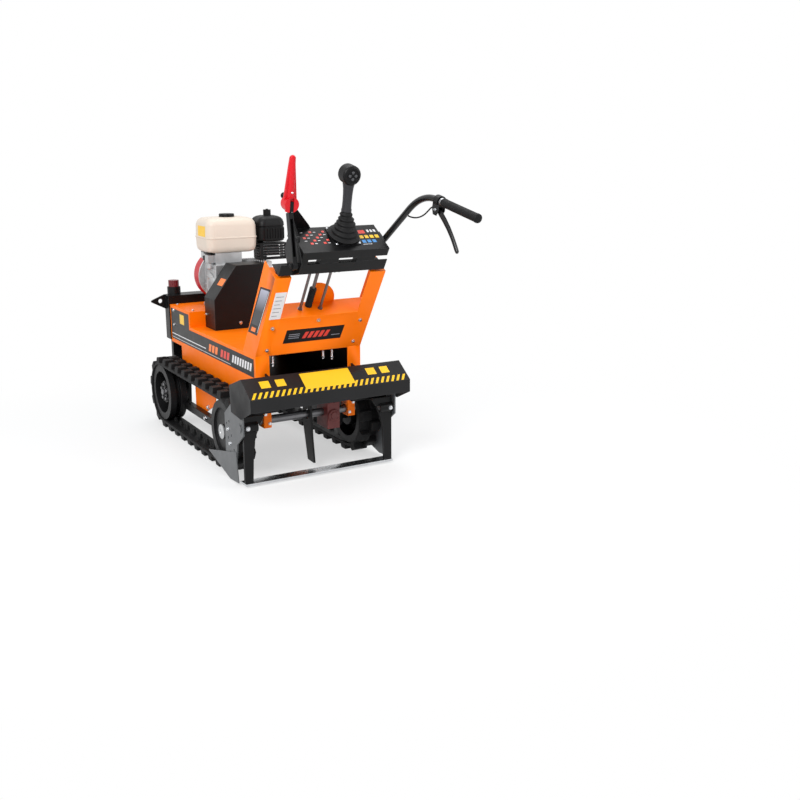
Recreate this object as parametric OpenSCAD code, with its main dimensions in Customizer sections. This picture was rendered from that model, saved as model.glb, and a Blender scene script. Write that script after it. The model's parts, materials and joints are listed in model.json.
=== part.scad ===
// Walk-behind crawler sod cutter with rubber tracks, an oscillating knife and a rear push cover.
// Millimetres. +X is the operator's right, +Y is forward and +Z is up.
// Heights start at the ground. Lengths along Y are measured from the fold line of the push cover,
// and at_origin() then moves everything so that the origin is under the middle of the machine.

/* [Tracks] */
// Clear width between the two side knife plates
cut_w = 600; // [560:5:660]
// Height of a track loop over its lugs
track_h = 300; // [280:2:320]
// Distance between the drive wheel and idler axles
wheelbase = 702; // [640:2:740]
// Place of the idler axle
idler_y = 333; // [330:1:345]
// Width of one rubber track
track_w = 82; // [74:1:90]
// Thickness of the belt without its lugs
belt_t = 11; // [8:0.5:14]
// Height of a tread lug
lug_h = 22; // [16:1:26]
// Length of a tread lug along the belt
lug_l = 36; // [26:1:44]
// Number of lugs in one row around the loop
lug_n = 28; // [22:1:30]
// Height of the inner guide lugs
guide_h = 18; // [12:1:20]
// Width of the groove in the wheels that the guide lugs run in
guide_slot = 20; // [18:1:24]
// Radius of the motor shafts and idler spindles
axle_r = 19; // [16:0.5:22]

/* [Body] */
// Place of the rear face of the tower legs
body_rear = 190; // [180:1:200]
// Distance from the drive wheel axle to the front of the body
body_front = 75; // [65:1:95]
// Distance from the riser behind the engine to the front of the body
riser_y = 240; // [230:1:260]
// Height of the deck
deck_z = 446; // [430:1:460]
// Height of the engine platform above the deck
platform_rise = 63; // [58:1:72]
// Thickness of the orange sheet
sheet = 3; // [2:0.5:5]
// Height of the chassis pan's top face
pan_z = 290; // [285:1:300]
// Depth of the chassis rails below the pan
rail_h = 40; // [34:1:46]
// Width of a chassis rail
rail_w = 40; // [34:1:46]
// Distance from the body's side to the outer face of a chassis rail
rail_out = 20; // [16:1:30]

/* [Front tank] */
// Depth of the hydraulic tank that forms the front bumper
tank_d = 80; // [70:1:95]
// Height of the tank's underside
tank_z = 358; // [350:1:366]
// Height of the tank's top face
tank_top = 545; // [530:1:560]
// Radius of the hole in each tie-down ear
ear_hole_r = 9; // [7:0.5:11]
// Thickness of a tie-down ear
ear_t = 10; // [8:1:14]
// Radius of the filler neck
neck_r = 28; // [25:1:31]
// Height of the filler neck
neck_h = 33; // [26:1:40]

/* [Rear tower] */
// Lean of the tower and of the console
tower_lean = 33; // [28:1:36]
// Length of the leaning posts
tower_l = 354; // [330:2:370]
// Depth of the posts' side strips
tower_d = 95; // [85:1:105]
// Width of the posts' rear flanges
post_w = 60; // [50:1:66]
// Width of the legs below the fold
leg_w = 53; // [45:1:60]
// Length of the rear panel up to its shelf
panel_l = 172; // [160:1:184]
// Depth of the shelf
shelf_d = 75; // [68:1:84]
// Radius of the quadrant plate on the shelf
quadrant_r = 88; // [76:1:96]

/* [Push cover] */
// Width that the push cover has beyond the cut, on both sides together
cover_w = 25; // [22:1:80]
// Height of the cover's fold line
fold_z = 342; // [335:1:348]
// Height of the lower edge of the cover's rear flange
flange_z = 296; // [288:1:304]
// Depth of the cover's sloping top
cover_d = 80; // [72:1:86]
// Rise of the cover's sloping top
cover_rise = 56; // [48:1:60]
// Thickness of the cover's sheet
cover_t = 3; // [2:0.5:4]
// Place of the hinge tube behind the legs
hinge_y = 150; // [144:1:154]
// Height of the hinge tube
hinge_z = 357; // [350:1:362]
// Radius of the hinge tube
hinge_r = 15; // [12:0.5:17]

/* [Knives] */
// Place of the knife arms' pivot
pivot_y = 115; // [108:1:118]
// Height of the knife arms' pivot
pivot_z = 217; // [210:1:222]
// Radius of the pivot pins
pivot_r = 10; // [8:0.5:12]
// Thickness of the holed adjuster plates
plate_t = 6; // [5:0.5:8]
// Radius of the holes in the adjuster plates
plate_hole_r = 5; // [3:0.5:6]
// Thickness of the side knives
knife_t = 4; // [3:0.5:5]
// Thickness of the knife arms
arm_t = 12; // [9:1:15]
// Depth of the horizontal blade from edge to edge
blade_d = 70; // [60:1:76]
// Thickness of the horizontal blade
blade_t = 8; // [6:0.5:10]
// Height of the blade's underside above the ground
blade_z = 6; // [5:0.5:9]
// Height of the eccentric shaft
ecc_z = 205; // [200:1:212]
// Place of the eccentric shaft
ecc_y = 215; // [211:1:219]
// Radius of the eccentric shaft
ecc_r = 15; // [12:0.5:18]
// Throw of the eccentric
ecc_throw = 5; // [2:0.5:7]

/* [Engine] */
// Sideways place of the crankshaft
crank_x = -15; // [-20:1:-10]
// Height of the crankshaft above the platform
crank_rise = 123; // [116:1:128]
// Length of the crankcase
case_l = 128; // [120:1:132]
// Width of the crankcase
case_w = 140; // [130:1:150]
// Radius of the fan cover
fan_r = 100; // [94:1:106]
// Depth of the fan cover
fan_d = 62; // [56:1:68]
// Width of the fuel tank
fuel_w = 224; // [210:2:236]
// Length of the fuel tank
fuel_l = 175; // [165:1:185]
// Height of the fuel tank
fuel_h = 141; // [130:1:150]
// Radius of the fuel cap
fuel_cap_r = 32; // [26:1:36]
// Width of the air cleaner
air_w = 120; // [110:1:128]
// Depth of the air cleaner
air_d = 120; // [110:1:126]
// Height of the air cleaner
air_h = 105; // [95:1:115]
// Radius of the crank pulley
crank_pulley_r = 45; // [40:1:50]
// Radius of the pump pulley
pump_pulley_r = 30; // [26:1:31]
// Width of the drive belt
vee_w = 20; // [16:1:22]

/* [Console] */
// Width of the console tray
tray_w = 323; // [310:1:335]
// Sideways place of the middle of the console tray
tray_x = 31; // [28:1:34]
// Depth of the console tray
tray_d = 132; // [126:1:140]
// Height of the console tray
tray_h = 31; // [26:1:36]
// Gap between the tower posts and the top face of the console
console_rise = 103; // [98:1:110]
// Height of the rubber mounts under the console frame
mount_h = 10; // [8:1:12]
// Radius of the rubber mounts
mount_r = 14; // [11:1:17]

/* [Joystick] */
// Sideways place of the joystick
stick_x = 47; // [42:1:52]
// Place of the joystick along the console's slope
stick_y = 74; // [70:1:78]
// Forward lean of the stick from the console's normal
stick_lean = 21; // [12:1:24]
// Length of the stick to the top of its head
stick_l = 244; // [230:1:260]
// Radius of the rubber boot at its foot
boot_r = 55; // [51:1:57]
// Height of the rubber boot
boot_h = 84; // [76:1:92]
// Number of ribs on the boot
boot_ribs = 6; // [5:1:7]
// Radius of the stick's head
head_r = 33; // [30:1:36]
// Depth of the stick's head
head_d = 50; // [44:1:56]
// Radius of a button
button_r = 5; // [4:0.25:6]
// Travel of a button
button_travel = 1.5; // [1:0.1:2.5]

/* [Clutch and throttle] */
// Sideways distance from the console tray to the clutch lever
clutch_x = 35.5; // [34:0.5:39]
// Length of the clutch lever's arm
clutch_arm_l = 170; // [155:1:185]
// Length of the red clutch handle
clutch_grip_l = 182; // [165:1:195]
// Travel of the latch in the clutch handle
latch_travel = 10; // [6:1:14]
// Length of the throttle lever
throttle_l = 169; // [150:1:180]
// Radius of the throttle knob
throttle_knob_r = 11; // [9:0.5:11]

/* [Handlebar] */
// Radius of the handlebar tube
bar_r = 11; // [10:0.5:13]
// Sideways place of the bar behind its bend
bar_x = 240; // [232:1:250]
// Place of the bar's bend
bend_y = -195; // [-210:1:-180]
// Height of the bar's bend
bend_z = 1017; // [1000:1:1035]
// Place of the bar's free end
bar_end_y = -515; // [-540:1:-500]
// Height of the bar's free end
bar_end_z = 954; // [940:1:970]
// Radius of the rubber grip
grip_r = 15; // [14.5:0.5:17]
// Length of the rubber grip
grip_l = 195; // [180:1:205]
// Length of the hand lever
lever_l = 165; // [150:1:175]
// Angle between the hand lever and the grip
lever_drop = 38; // [34:1:44]
// Radius of the lever cable
cable_r = 3; // [2:0.25:4]

/* [Fits] */
// Radial clearance of a shaft in its bore
shaft_gap = 0.05; // [0.02:0.01:0.1]
// Clearance between parts that move past each other
run_gap = 0.5; // [0.4:0.1:1]
// Clearance beside the tracks
side_gap = 4; // [3:0.5:6]

/* [Hidden] */
$fn = 64;
eps = 0.01;

// Widths that follow from the cut and the tracks
track_out = cut_w / 2 - side_gap;
track_in = track_out - track_w;
track_mid = track_out - track_w / 2;
body_half = track_in - side_gap;
inner_half = body_half - sheet;
cover_half = (cut_w + cover_w) / 2;

// Track radii
axle_z = track_h / 2;
belt_out_r = axle_z - lug_h;
belt_in_r = belt_out_r - belt_t;
wheel_r = belt_in_r - run_gap;
groove_r = belt_in_r - guide_h - run_gap - 2;
rim_r = groove_r - 8;
drive_y = idler_y + wheelbase;
wheel_in = track_in + 6;
wheel_out = track_out - 6;
web_t = 16;
guide_w = guide_slot - 5;
lug_w = track_w * 0.52;
belt_pitch_l = 2 * wheelbase + 2 * PI * belt_out_r;

// Body places
nose_y = drive_y + body_front;
step_y = nose_y - riser_y;
platform_z = deck_z + platform_rise;
rail_z = pan_z - 4 - rail_h;
rail_side = body_half - rail_out;
rail_in = rail_side - rail_w;
skirt_z = pan_z - 6;
front_y = nose_y + tank_d;

// Console frame along the tower's slope
frame_z = tower_l + mount_h;
panel_z = tower_l + console_rise;
tray_z = panel_z - tray_h;
tray_l = tray_x - tray_w / 2;
tray_r = tray_x + tray_w / 2;
lever_plate_x = tray_l - 20;
clutch_at = tray_l - clutch_x;
tray_y = -2;
tray_wall = 2.5;

// Handlebar frame
bar_tilt = atan2(bend_z - bar_end_z, bend_y - bar_end_y);
grip_cap = 3;
rear_y = bar_end_y - grip_cap * cos(bar_tilt) - grip_r * sin(bar_tilt);
mid_y = (front_y + rear_y) / 2;
clamp_y = grip_l + 26;
clamp_w = 24;
lever_drop_z = 28;

// Engine places
crank_z = platform_z + crank_rise;
case_y0 = step_y + 8;
case_y1 = case_y0 + case_l;
case_top = crank_z + 58;
fuel_z = case_top + 47;
fuel_y = case_y0 + 2;
guard_y0 = step_y - 130;
guard_y1 = step_y - 18;
guard_top = crank_z + 70;
guard_l = crank_x - 133;
guard_r = crank_x + 100;
pump_x = crank_x - 55;
pump_z = deck_z + 33;
pulley_y = step_y - 88;
air_x = crank_x + 15 + fuel_w / 2 + 4 + air_w / 2;
air_y = fuel_y + air_d / 2;
air_z = guard_top + 73;
fin_top = crank_z + 68;

// Clutch and throttle pivots in the console's frame
clutch_pivot = [-21, panel_z - 34];
throttle_pivot = [49, panel_z + 17];
lever_pin_r = 8;
throttle_x = tray_l - 5.5;

// Joystick gimbal and head
flange_t = 4;
gimbal_h = 22;
gimbal_r = 18;
gimbal_pin_r = 4;
head_z = stick_l - gimbal_h - 30;
button_pitch = 11;
button_proud = 3;
button_places = [[0, button_pitch], [0, -button_pitch], [-button_pitch, 0], [button_pitch, 0]];
stick_r = 8;

// Shafts and small parts
crank_r = 12.5;
pump_shaft_r = 10;
neck_x = 34 - body_half;
recoil_at = fan_r - 13;
recoil_x = recoil_at * cos(45);
recoil_z = recoil_at * sin(45);
recoil_boss = 6;
fuel_cap_x = 6;
housing_x = rail_in - 90;
arm_out = cut_w / 2 - 3;
rod_r = 5;
rod_places = [[-60, 41], [16, 36]];
quadrant_x = -4;
latch_d = 7;
latch_r = 17;
handle_seat = 4.3;
clutch_arm_cant = 8;
clutch_grip_cant = 12;

// Paints and plastics
orange = "#ff8200";
black = "#1d1d1f";
grey = "#5a5c5e";
steel = "#b9bcbf";
rubber = "#232325";
red = "#d8202f";

// Route of the lever cable from the lever clamp to the handlebar tube
cable_route = [
    [240, -276, 973], [240, -262, 976], [240, -246, 971], [240, -228, 960], [239, -208, 948],
    [237, -184, 939], [234, -158, 935], [230, -132, 937], [226, -108, 945]
];

function tower_point(p) = [
    p[0],
    body_rear + p[1] * cos(tower_lean) - p[2] * sin(tower_lean),
    deck_z + p[1] * sin(tower_lean) + p[2] * cos(tower_lean)
];

// Placement and plain shapes

module at_origin() {
    translate([0, -mid_y, 0]) children();
}

module both_sides() {
    children();
    mirror([1, 0, 0]) children();
}

// Frame of the leaning tower: x across, y forward and up, z along the slope
module tower_frame() {
    translate([0, body_rear, deck_z]) rotate([tower_lean, 0, 0]) children();
}

// Frame of the handlebar's rear stretch: origin at its free end, y along the bar
module bar_frame() {
    translate([bar_x, bar_end_y, bar_end_z]) rotate([bar_tilt, 0, 0]) children();
}

// Frame of the stick: origin at the gimbal's centre, z along the stick
module stick_frame() {
    tower_frame() translate([stick_x, stick_y, panel_z + gimbal_h]) rotate([-stick_lean, 0, 0]) children();
}

// Frame of the clutch lever: origin at its pivot, z along its arm
module clutch_frame() {
    tower_frame() translate([clutch_at, clutch_pivot[0], clutch_pivot[1]])
        rotate([-tower_lean - clutch_arm_cant, 0, 0]) children();
}

// Frame of the clutch handle: origin on the top of its arm, z along the handle
module handle_frame() {
    clutch_frame() translate([0, 0, clutch_arm_l + handle_seat])
        rotate([clutch_arm_cant + clutch_grip_cant, 0, 0]) children();
}

// Plate with its outline in Y and Z, from x0 outwards
module side_plate(x0, t, outline) {
    translate([x0, 0, 0]) rotate([90, 0, 90]) linear_extrude(t) polygon(outline);
}

// Plate with its outline in X and Z, from y0 forwards
module cross_plate(y0, t, outline) {
    translate([0, y0 + t, 0]) rotate([90, 0, 0]) linear_extrude(t) polygon(outline);
}

module x_rod(r, x0, x1, y, z) {
    translate([x0, y, z]) rotate([0, 90, 0]) cylinder(r = r, h = x1 - x0);
}

module y_rod(r, y0, y1, x, z) {
    translate([x, y0, z]) rotate([-90, 0, 0]) cylinder(r = r, h = y1 - y0);
}

module rounded_square(w, h, r) {
    square([w - 2 * r, h], center = true);
    square([w, h - 2 * r], center = true);
    for (sx = [-1, 1], sy = [-1, 1])
        translate([sx * (w / 2 - r), sy * (h / 2 - r)]) circle(r = r);
}

// Box with all its edges rounded, centred on the origin
module rounded_box(w, d, h, r) {
    intersection() {
        linear_extrude(h, center = true) rounded_square(w, d, r);
        rotate([90, 0, 0]) linear_extrude(d, center = true) rounded_square(w, h, r);
        rotate([90, 0, 90]) linear_extrude(w, center = true) rounded_square(d, h, r);
    }
}

// Chassis and orange body

module chassis_rail() {
    rail_l = nose_y - 6 - body_rear - sheet;
    difference() {
        translate([rail_in, body_rear + sheet, rail_z]) cube([rail_w, rail_l, rail_h]);
        translate([rail_in + 3, body_rear + sheet + 3, rail_z + 3]) cube([rail_w - 6, rail_l, rail_h - 6]);
    }
}

module chassis_hanger() {
    hanger_t = 12;
    hanger_y = pivot_y + arm_t / 2 + 29;
    translate([rail_in, hanger_y, rail_z]) cube([rail_w, body_rear + sheet + eps - hanger_y, rail_h]);
    translate([rail_in, hanger_y, rail_z]) cube([cut_w / 2 - rail_in, hanger_t, rail_h]);
}

module wheel_bracket(y, half_top, half_foot, drop) {
    bracket_t = 14;
    side_plate(rail_side - bracket_t, bracket_t, [
        [y - half_top, rail_z], [y + half_top, rail_z],
        [y + half_foot, axle_z - drop], [y - half_foot, axle_z - drop]
    ]);
}

module chassis_frame() {
    leg_x = 27;
    color(black) {
        translate([-inner_half, body_rear + sheet, pan_z - 4])
            cube([2 * inner_half, nose_y - body_rear - sheet, 4]);
        translate([-inner_half, nose_y - 6, rail_z])
            cube([2 * inner_half, 6, platform_z - sheet - rail_z]);
        translate([-rail_in - eps, ecc_y - 20, rail_z]) cube([2 * (rail_in + eps), 40, rail_h]);
        both_sides() {
            chassis_rail();
            chassis_hanger();
            wheel_bracket(drive_y, 58, 45, 55);
            wheel_bracket(idler_y, 55, 30, 35);
            x_rod(axle_r, rail_side - eps, wheel_out - 18, idler_y, axle_z);
            translate([inner_half - leg_x, nose_y - eps, rail_z]) cube([leg_x, 20, tank_z - rail_z]);
        }
    }
}

module body_panel() {
    tab_y = drive_y - 195;
    tab_z = axle_z - 47;
    color(orange) side_plate(inner_half, sheet, [
        [body_rear + sheet, skirt_z], [body_rear + sheet, deck_z], [step_y, deck_z],
        [step_y, platform_z], [nose_y, platform_z], [nose_y, tank_z - 8],
        [nose_y - 125, tank_z - 8], [nose_y - 125, skirt_z], [tab_y, skirt_z],
        [tab_y, tab_z], [tab_y - 53, tab_z - 12], [tab_y - 217, tab_z + 68], [tab_y - 280, skirt_z]
    ]);
}

module body_panel_left() {
    mirror([1, 0, 0]) body_panel();
}

module body_panel_right() {
    body_panel();
}

module deck() {
    color(orange) {
        translate([-inner_half, body_rear + sheet, deck_z - sheet])
            cube([2 * inner_half, step_y - body_rear - sheet, sheet]);
        difference() {
            translate([-inner_half, step_y - sheet, deck_z - sheet])
                cube([2 * inner_half, sheet, platform_rise + sheet]);
            y_rod(pump_shaft_r + 3, step_y - sheet - 1, step_y + 1, pump_x, pump_z);
        }
        translate([-inner_half, step_y - sheet, platform_z - sheet])
            cube([2 * inner_half, nose_y - step_y + sheet, sheet]);
    }
}

module tower_post() {
    seat_d = 60;
    translate([body_half - post_w, 0, panel_l - sheet]) cube([post_w, sheet, tower_l - panel_l + sheet]);
    translate([body_half - post_w, 0, tower_l - sheet]) cube([post_w, seat_d, sheet]);
}

module rear_tower() {
    color(orange) {
        both_sides() {
            translate([body_half - leg_w, body_rear, pan_z - 4]) cube([leg_w, sheet, deck_z - pan_z + 8]);
            tower_frame() tower_post();
            side_plate(inner_half, sheet, [
                [body_rear, deck_z], [body_rear + tower_d / cos(tower_lean), deck_z],
                [tower_point([0, tower_d, tower_l])[1], tower_point([0, tower_d, tower_l])[2]],
                [tower_point([0, 0, tower_l])[1], tower_point([0, 0, tower_l])[2]]
            ]);
        }
        tower_frame() {
            translate([-body_half, 0, 0]) cube([2 * body_half, sheet, panel_l]);
            difference() {
                translate([-body_half, 0, panel_l - sheet]) cube([2 * body_half, shelf_d, sheet]);
                for (p = rod_places)
                    translate([p[0], p[1], panel_l - sheet - 1]) cylinder(r = rod_r + 1, h = sheet + 2);
            }
            translate([quadrant_x, shelf_d - 2, panel_l - eps]) rotate([90, 0, 0]) linear_extrude(4)
                intersection() {
                    circle(r = quadrant_r);
                    square(quadrant_r);
                }
        }
    }
}

// Front hydraulic tank

module bumper_tank() {
    tank_half = body_half + 5;
    wall = 3;
    chamfer = 28;
    ear_y = nose_y + tank_d / 2;
    ear_z = tank_top - 25;
    color(black) difference() {
        union() {
            translate([0, nose_y, tank_z]) linear_extrude(tank_top - tank_z) polygon([
                [-tank_half, 0], [tank_half, 0], [tank_half, tank_d - chamfer],
                [tank_half - chamfer, tank_d], [chamfer - tank_half, tank_d],
                [-tank_half, tank_d - chamfer]
            ]);
            both_sides() translate([tank_half, 0, ear_z]) cross_plate(ear_y - ear_t / 2, ear_t, [
                [-1, -34], [6, -33], [56, -7], [63, -3], [63, 3], [56, 7], [6, 27], [-1, 27]
            ]);
            translate([neck_x, ear_y, tank_top - eps]) cylinder(r = neck_r, h = neck_h);
        }
        translate([0, nose_y, tank_z]) translate([0, wall, wall])
            linear_extrude(tank_top - tank_z - 2 * wall) polygon([
                [wall - tank_half, 0], [tank_half - wall, 0], [tank_half - wall, tank_d - chamfer - wall],
                [tank_half - chamfer - wall, tank_d - 2 * wall],
                [chamfer + wall - tank_half, tank_d - 2 * wall], [wall - tank_half, tank_d - chamfer - wall]
            ]);
        both_sides() y_rod(ear_hole_r, ear_y - ear_t, ear_y + ear_t, tank_half + 24, ear_z);
        translate([neck_x, ear_y, tank_top - 2 * wall]) cylinder(r = neck_r - 8, h = neck_h + 3 * wall);
    }
}

module filler_cap() {
    cap_r = 22;
    cap_h = 27;
    plug_h = 14;
    color(red) translate([neck_x, nose_y + tank_d / 2, tank_top + neck_h + 0.3]) {
        difference() {
            cylinder(r = cap_r, h = cap_h);
            for (i = [0:11])
                rotate([0, 0, 30 * i]) translate([cap_r + 1, 0, 6]) cylinder(r = 2.5, h = cap_h);
        }
        translate([0, 0, -plug_h]) cylinder(r = neck_r - 8 - run_gap, h = plug_h + eps);
    }
}

// Engine

module engine_crankcase() {
    foot_h = 15;
    color(steel) difference() {
        union() {
            translate([crank_x - case_w / 2 - 12, case_y0 - 4, platform_z])
                cube([case_w + 24, case_l + 4, foot_h]);
            translate([crank_x - case_w / 2, case_y0, platform_z + foot_h - eps])
                cube([case_w, case_l, case_top - platform_z - foot_h]);
            y_rod(fan_r, case_y1 - 8, case_y1, crank_x, crank_z);
            translate([crank_x - 60, case_y0 + 20, case_top - eps])
                cube([115, case_l - 43, fuel_z - case_top + eps]);
        }
        y_rod(crank_r + shaft_gap, case_y0 - 1, case_y1 + 1, crank_x, crank_z);
    }
}

module engine_cylinder() {
    fins = 9;
    pitch = 10;
    x0 = crank_x + case_w / 2;
    color("#8f9193") {
        translate([x0, case_y0 + 22, crank_z - 12]) cube([fins * pitch + 4, case_l - 58, 65]);
        for (i = [0:fins - 1])
            translate([x0 + 5 + i * pitch, case_y0 + 7, crank_z - 32]) cube([4, case_l - 28, fin_top - crank_z + 32]);
        translate([x0 + fins * pitch + 4 - eps, case_y0 + 15, crank_z - 24]) cube([22, case_l - 44, 84]);
    }
}

module fan_cover() {
    wall = 3;
    dome_r = fan_r * 0.72;
    dome_h = 16;
    color(red) translate([crank_x, case_y1, crank_z]) rotate([-90, 0, 0]) difference() {
        union() {
            rotate_extrude() polygon([
                [fan_r, 0], [fan_r, fan_d - 10], [fan_r - 10, fan_d], [dome_r + 4, fan_d],
                [dome_r, fan_d + dome_h], [0, fan_d + dome_h], [0, fan_d + dome_h - wall],
                [dome_r - wall, fan_d + dome_h - wall], [dome_r, fan_d - wall],
                [fan_r - 12, fan_d - wall], [fan_r - wall, fan_d - 12], [fan_r - wall, 0]
            ]);
            translate([recoil_x, -recoil_z, fan_d - wall]) cylinder(r = 9, h = recoil_boss + wall);
        }
        for (i = [0:11])
            rotate([0, 0, 30 * i]) translate([dome_r * 0.35, -3, fan_d]) cube([dome_r * 0.5, 6, dome_h + 1]);
        translate([recoil_x, -recoil_z, fan_d - wall - 1]) cylinder(r = 4, h = recoil_boss + wall + 2);
    }
}

module recoil_grip() {
    bar_half = 27;
    front = case_y1 + fan_d + recoil_boss + 0.3;
    color(rubber) translate([crank_x + recoil_x, 0, crank_z + recoil_z]) {
        y_rod(7, front, front + 8, 0, 0);
        y_rod(3.7, front - recoil_boss - 4, front + eps, 0, 0);
        rotate([0, 45, 0]) x_rod(9, -bar_half, bar_half, front + 14, 0);
        for (sx = [-1, 1])
            rotate([0, 45, 0]) translate([sx * bar_half, front + 14, 0]) sphere(r = 9);
    }
}

module fuel_tank() {
    lip = 3;
    color("#ece6dc") translate([crank_x + 15, fuel_y + fuel_l / 2, fuel_z + fuel_h / 2]) {
        rounded_box(fuel_w - 2 * lip, fuel_l - 2 * lip, fuel_h, 34);
        translate([0, 0, -2]) linear_extrude(4) rounded_square(fuel_w, fuel_l, 36);
        translate([fuel_cap_x, 0, fuel_h / 2 - 4]) cylinder(r = fuel_cap_r - 6, h = 8);
    }
}

module fuel_cap() {
    cap_h = 13;
    color(black) translate([crank_x + 15 + fuel_cap_x, fuel_y + fuel_l / 2, fuel_z + fuel_h + 0.3])
        difference() {
            cylinder(r = fuel_cap_r, h = cap_h);
            translate([0, 0, -1]) cylinder(r = fuel_cap_r - 6 + run_gap, h = 5.2);
            for (i = [0:17])
                rotate([0, 0, 20 * i]) translate([fuel_cap_r + 1, 0, -1]) cylinder(r = 2.2, h = cap_h + 2);
        }
}

module air_cleaner() {
    color(black) difference() {
        union() {
            translate([air_x, air_y, air_z + air_h / 2]) rounded_box(air_w, air_d, air_h, 24);
            translate([air_x - 45, air_y + 15, fin_top]) cube([32, 35, air_z + 6 - fin_top]);
        }
        translate([air_x, air_y, air_z + air_h - 14]) cylinder(r = 5 + shaft_gap, h = 15);
    }
}

module air_cleaner_knob() {
    color(black) translate([air_x, air_y, air_z + air_h + 0.3]) {
        cylinder(r = 5, h = 26);
        translate([0, 0, -12]) cylinder(r = 5, h = 13);
        cylinder(r = 13, h = 8);
        for (i = [0:5])
            rotate([0, 0, 60 * i]) translate([13, 0, 0]) cylinder(r = 4, h = 23);
        cylinder(r = 14, h = 23);
    }
}

module muffler() {
    color(grey) {
        translate([air_x, fuel_y + 35, fin_top + 38]) rounded_box(70, 50, 44, 12);
        translate([air_x - 41, fuel_y + 30, fin_top]) cube([22, 25, 30]);
    }
}

module muffler_guard() {
    wall = 2.5;
    x0 = air_x - air_w / 2;
    y0 = fuel_y;
    d = 68;
    h = 69;
    foot_d = 25;
    color(black) {
        difference() {
            translate([x0, y0, fin_top]) cube([air_w, d, h]);
            translate([x0 + wall, y0 + wall, fin_top - 1]) cube([air_w - 2 * wall, d, h - wall + 1]);
            for (i = [0:4])
                translate([x0 + 12, y0 - 1, fin_top + 12 + 11 * i]) cube([air_w - 24, wall + 2, 5]);
            for (i = [0:4])
                translate([x0 - 1, y0 + 12, fin_top + 12 + 11 * i]) cube([air_w + 2, d - 24, 5]);
        }
        translate([x0, y0, fin_top]) cube([air_w, foot_d, wall]);
    }
}

// Belt drive

module pulley(r, w) {
    groove = 9;
    rotate_extrude() polygon([
        [0, -w / 2], [r, -w / 2], [r, -w / 2 + 2], [r - groove, -w / 2 + 4], [r - groove, w / 2 - 4],
        [r, w / 2 - 2], [r, w / 2], [0, w / 2]
    ]);
}

module crankshaft() {
    flywheel_r = fan_r - 14;
    color(steel) {
        y_rod(crank_r, pulley_y - vee_w / 2, case_y1 + 30, crank_x, crank_z);
        translate([crank_x, pulley_y, crank_z]) rotate([-90, 0, 0]) pulley(crank_pulley_r, vee_w);
        y_rod(flywheel_r, case_y1 + 6, case_y1 + 16, crank_x, crank_z);
        for (i = [0:11])
            translate([crank_x, case_y1 + 16 - eps, crank_z]) rotate([0, 30 * i, 0])
                translate([flywheel_r * 0.6, 0, -2]) cube([flywheel_r * 0.38, 20, 4]);
    }
}

module pump_pulley() {
    color(steel) {
        y_rod(pump_shaft_r, pulley_y - vee_w / 2, step_y + 28, pump_x, pump_z);
        translate([pump_x, pulley_y, pump_z]) rotate([-90, 0, 0]) pulley(pump_pulley_r, vee_w);
    }
}

// Point at an angle on a circle of radius 1
function unit_at(angle) = [cos(angle), sin(angle)];

// Points of a belt's outline around two circles
function belt_points(c1, r1, c2, r2) =
    let (
        steps = 24,
        along = atan2(c2[1] - c1[1], c2[0] - c1[0]),
        spread = acos((r1 - r2) / norm(c2 - c1))
    )
    concat(
        [for (k = [0:steps]) c1 + r1 * unit_at(along + spread + k * (360 - 2 * spread) / steps)],
        [for (k = [0:steps]) c2 + r2 * unit_at(along - spread + k * 2 * spread / steps)]
    );

module drive_belt() {
    belt_w = vee_w - 9;
    seat = 9 - run_gap;
    c1 = [crank_x, crank_z];
    c2 = [pump_x, pump_z];
    color(rubber) translate([0, pulley_y + belt_w / 2, 0]) rotate([90, 0, 0]) linear_extrude(belt_w)
        difference() {
            polygon(belt_points(c1, crank_pulley_r + 1, c2, pump_pulley_r + 1));
            polygon(belt_points(c1, crank_pulley_r - seat, c2, pump_pulley_r - seat));
        }
}

module hydraulic_pump() {
    half = 26;
    color(grey) difference() {
        union() {
            translate([pump_x - half - 10, step_y, pump_z - half]) cube([2 * half + 20, 12, 2 * half]);
            y_rod(half, step_y, step_y + 90, pump_x, pump_z);
        }
        y_rod(pump_shaft_r + shaft_gap, step_y - 1, step_y + 30, pump_x, pump_z);
    }
}

module belt_guard() {
    wall = 3;
    knee_z = deck_z + 124;
    slant_x = crank_x - 35;
    depth = guard_y1 - guard_y0;
    color(black) difference() {
        cross_plate(guard_y0, depth, [
            [guard_l, deck_z], [guard_l, knee_z], [slant_x, guard_top], [guard_r, guard_top],
            [guard_r, deck_z]
        ]);
        cross_plate(guard_y0 + wall, depth, [
            [guard_l + wall, deck_z - 1], [guard_l + wall, knee_z - 1], [slant_x + 1, guard_top - wall],
            [guard_r - wall, guard_top - wall], [guard_r - wall, deck_z - 1]
        ]);
    }
}

// Tracks

module loop_outline(r) {
    translate([idler_y, axle_z]) circle(r = r);
    translate([drive_y, axle_z]) circle(r = r);
    translate([idler_y, axle_z - r]) square([wheelbase, 2 * r]);
}

// Place along the belt's outer face at distance s: [y, z, angle of the outward normal, 1 on an arc]
function loop_place(s, r) =
    s < wheelbase ? [idler_y + s, axle_z - r, -90, 0] :
    s < wheelbase + PI * r ? arc_place(drive_y, (s - wheelbase) / r * 180 / PI - 90, r) :
    s < 2 * wheelbase + PI * r ? [drive_y + wheelbase + PI * r - s, axle_z + r, 90, 0] :
    arc_place(idler_y, (s - 2 * wheelbase - PI * r) / r * 180 / PI + 90, r);

function arc_place(y, angle, r) = [y + r * cos(angle), axle_z + r * sin(angle), angle, 1];

// A block standing on the loop, outwards for a positive height
module loop_block(s, r, x, w, l, h, sink) {
    p = loop_place(s, r);
    relief = h > 0 ? p[3] * (r + h - sqrt(pow(r + h, 2) - l * l / 4)) : 0;
    translate([x, p[0], p[1]]) rotate([p[2] - 90, 0, 0])
        translate([0, -l / 2, h > 0 ? -sink : h]) cube([w, l, abs(h) + sink - relief]);
}

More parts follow.
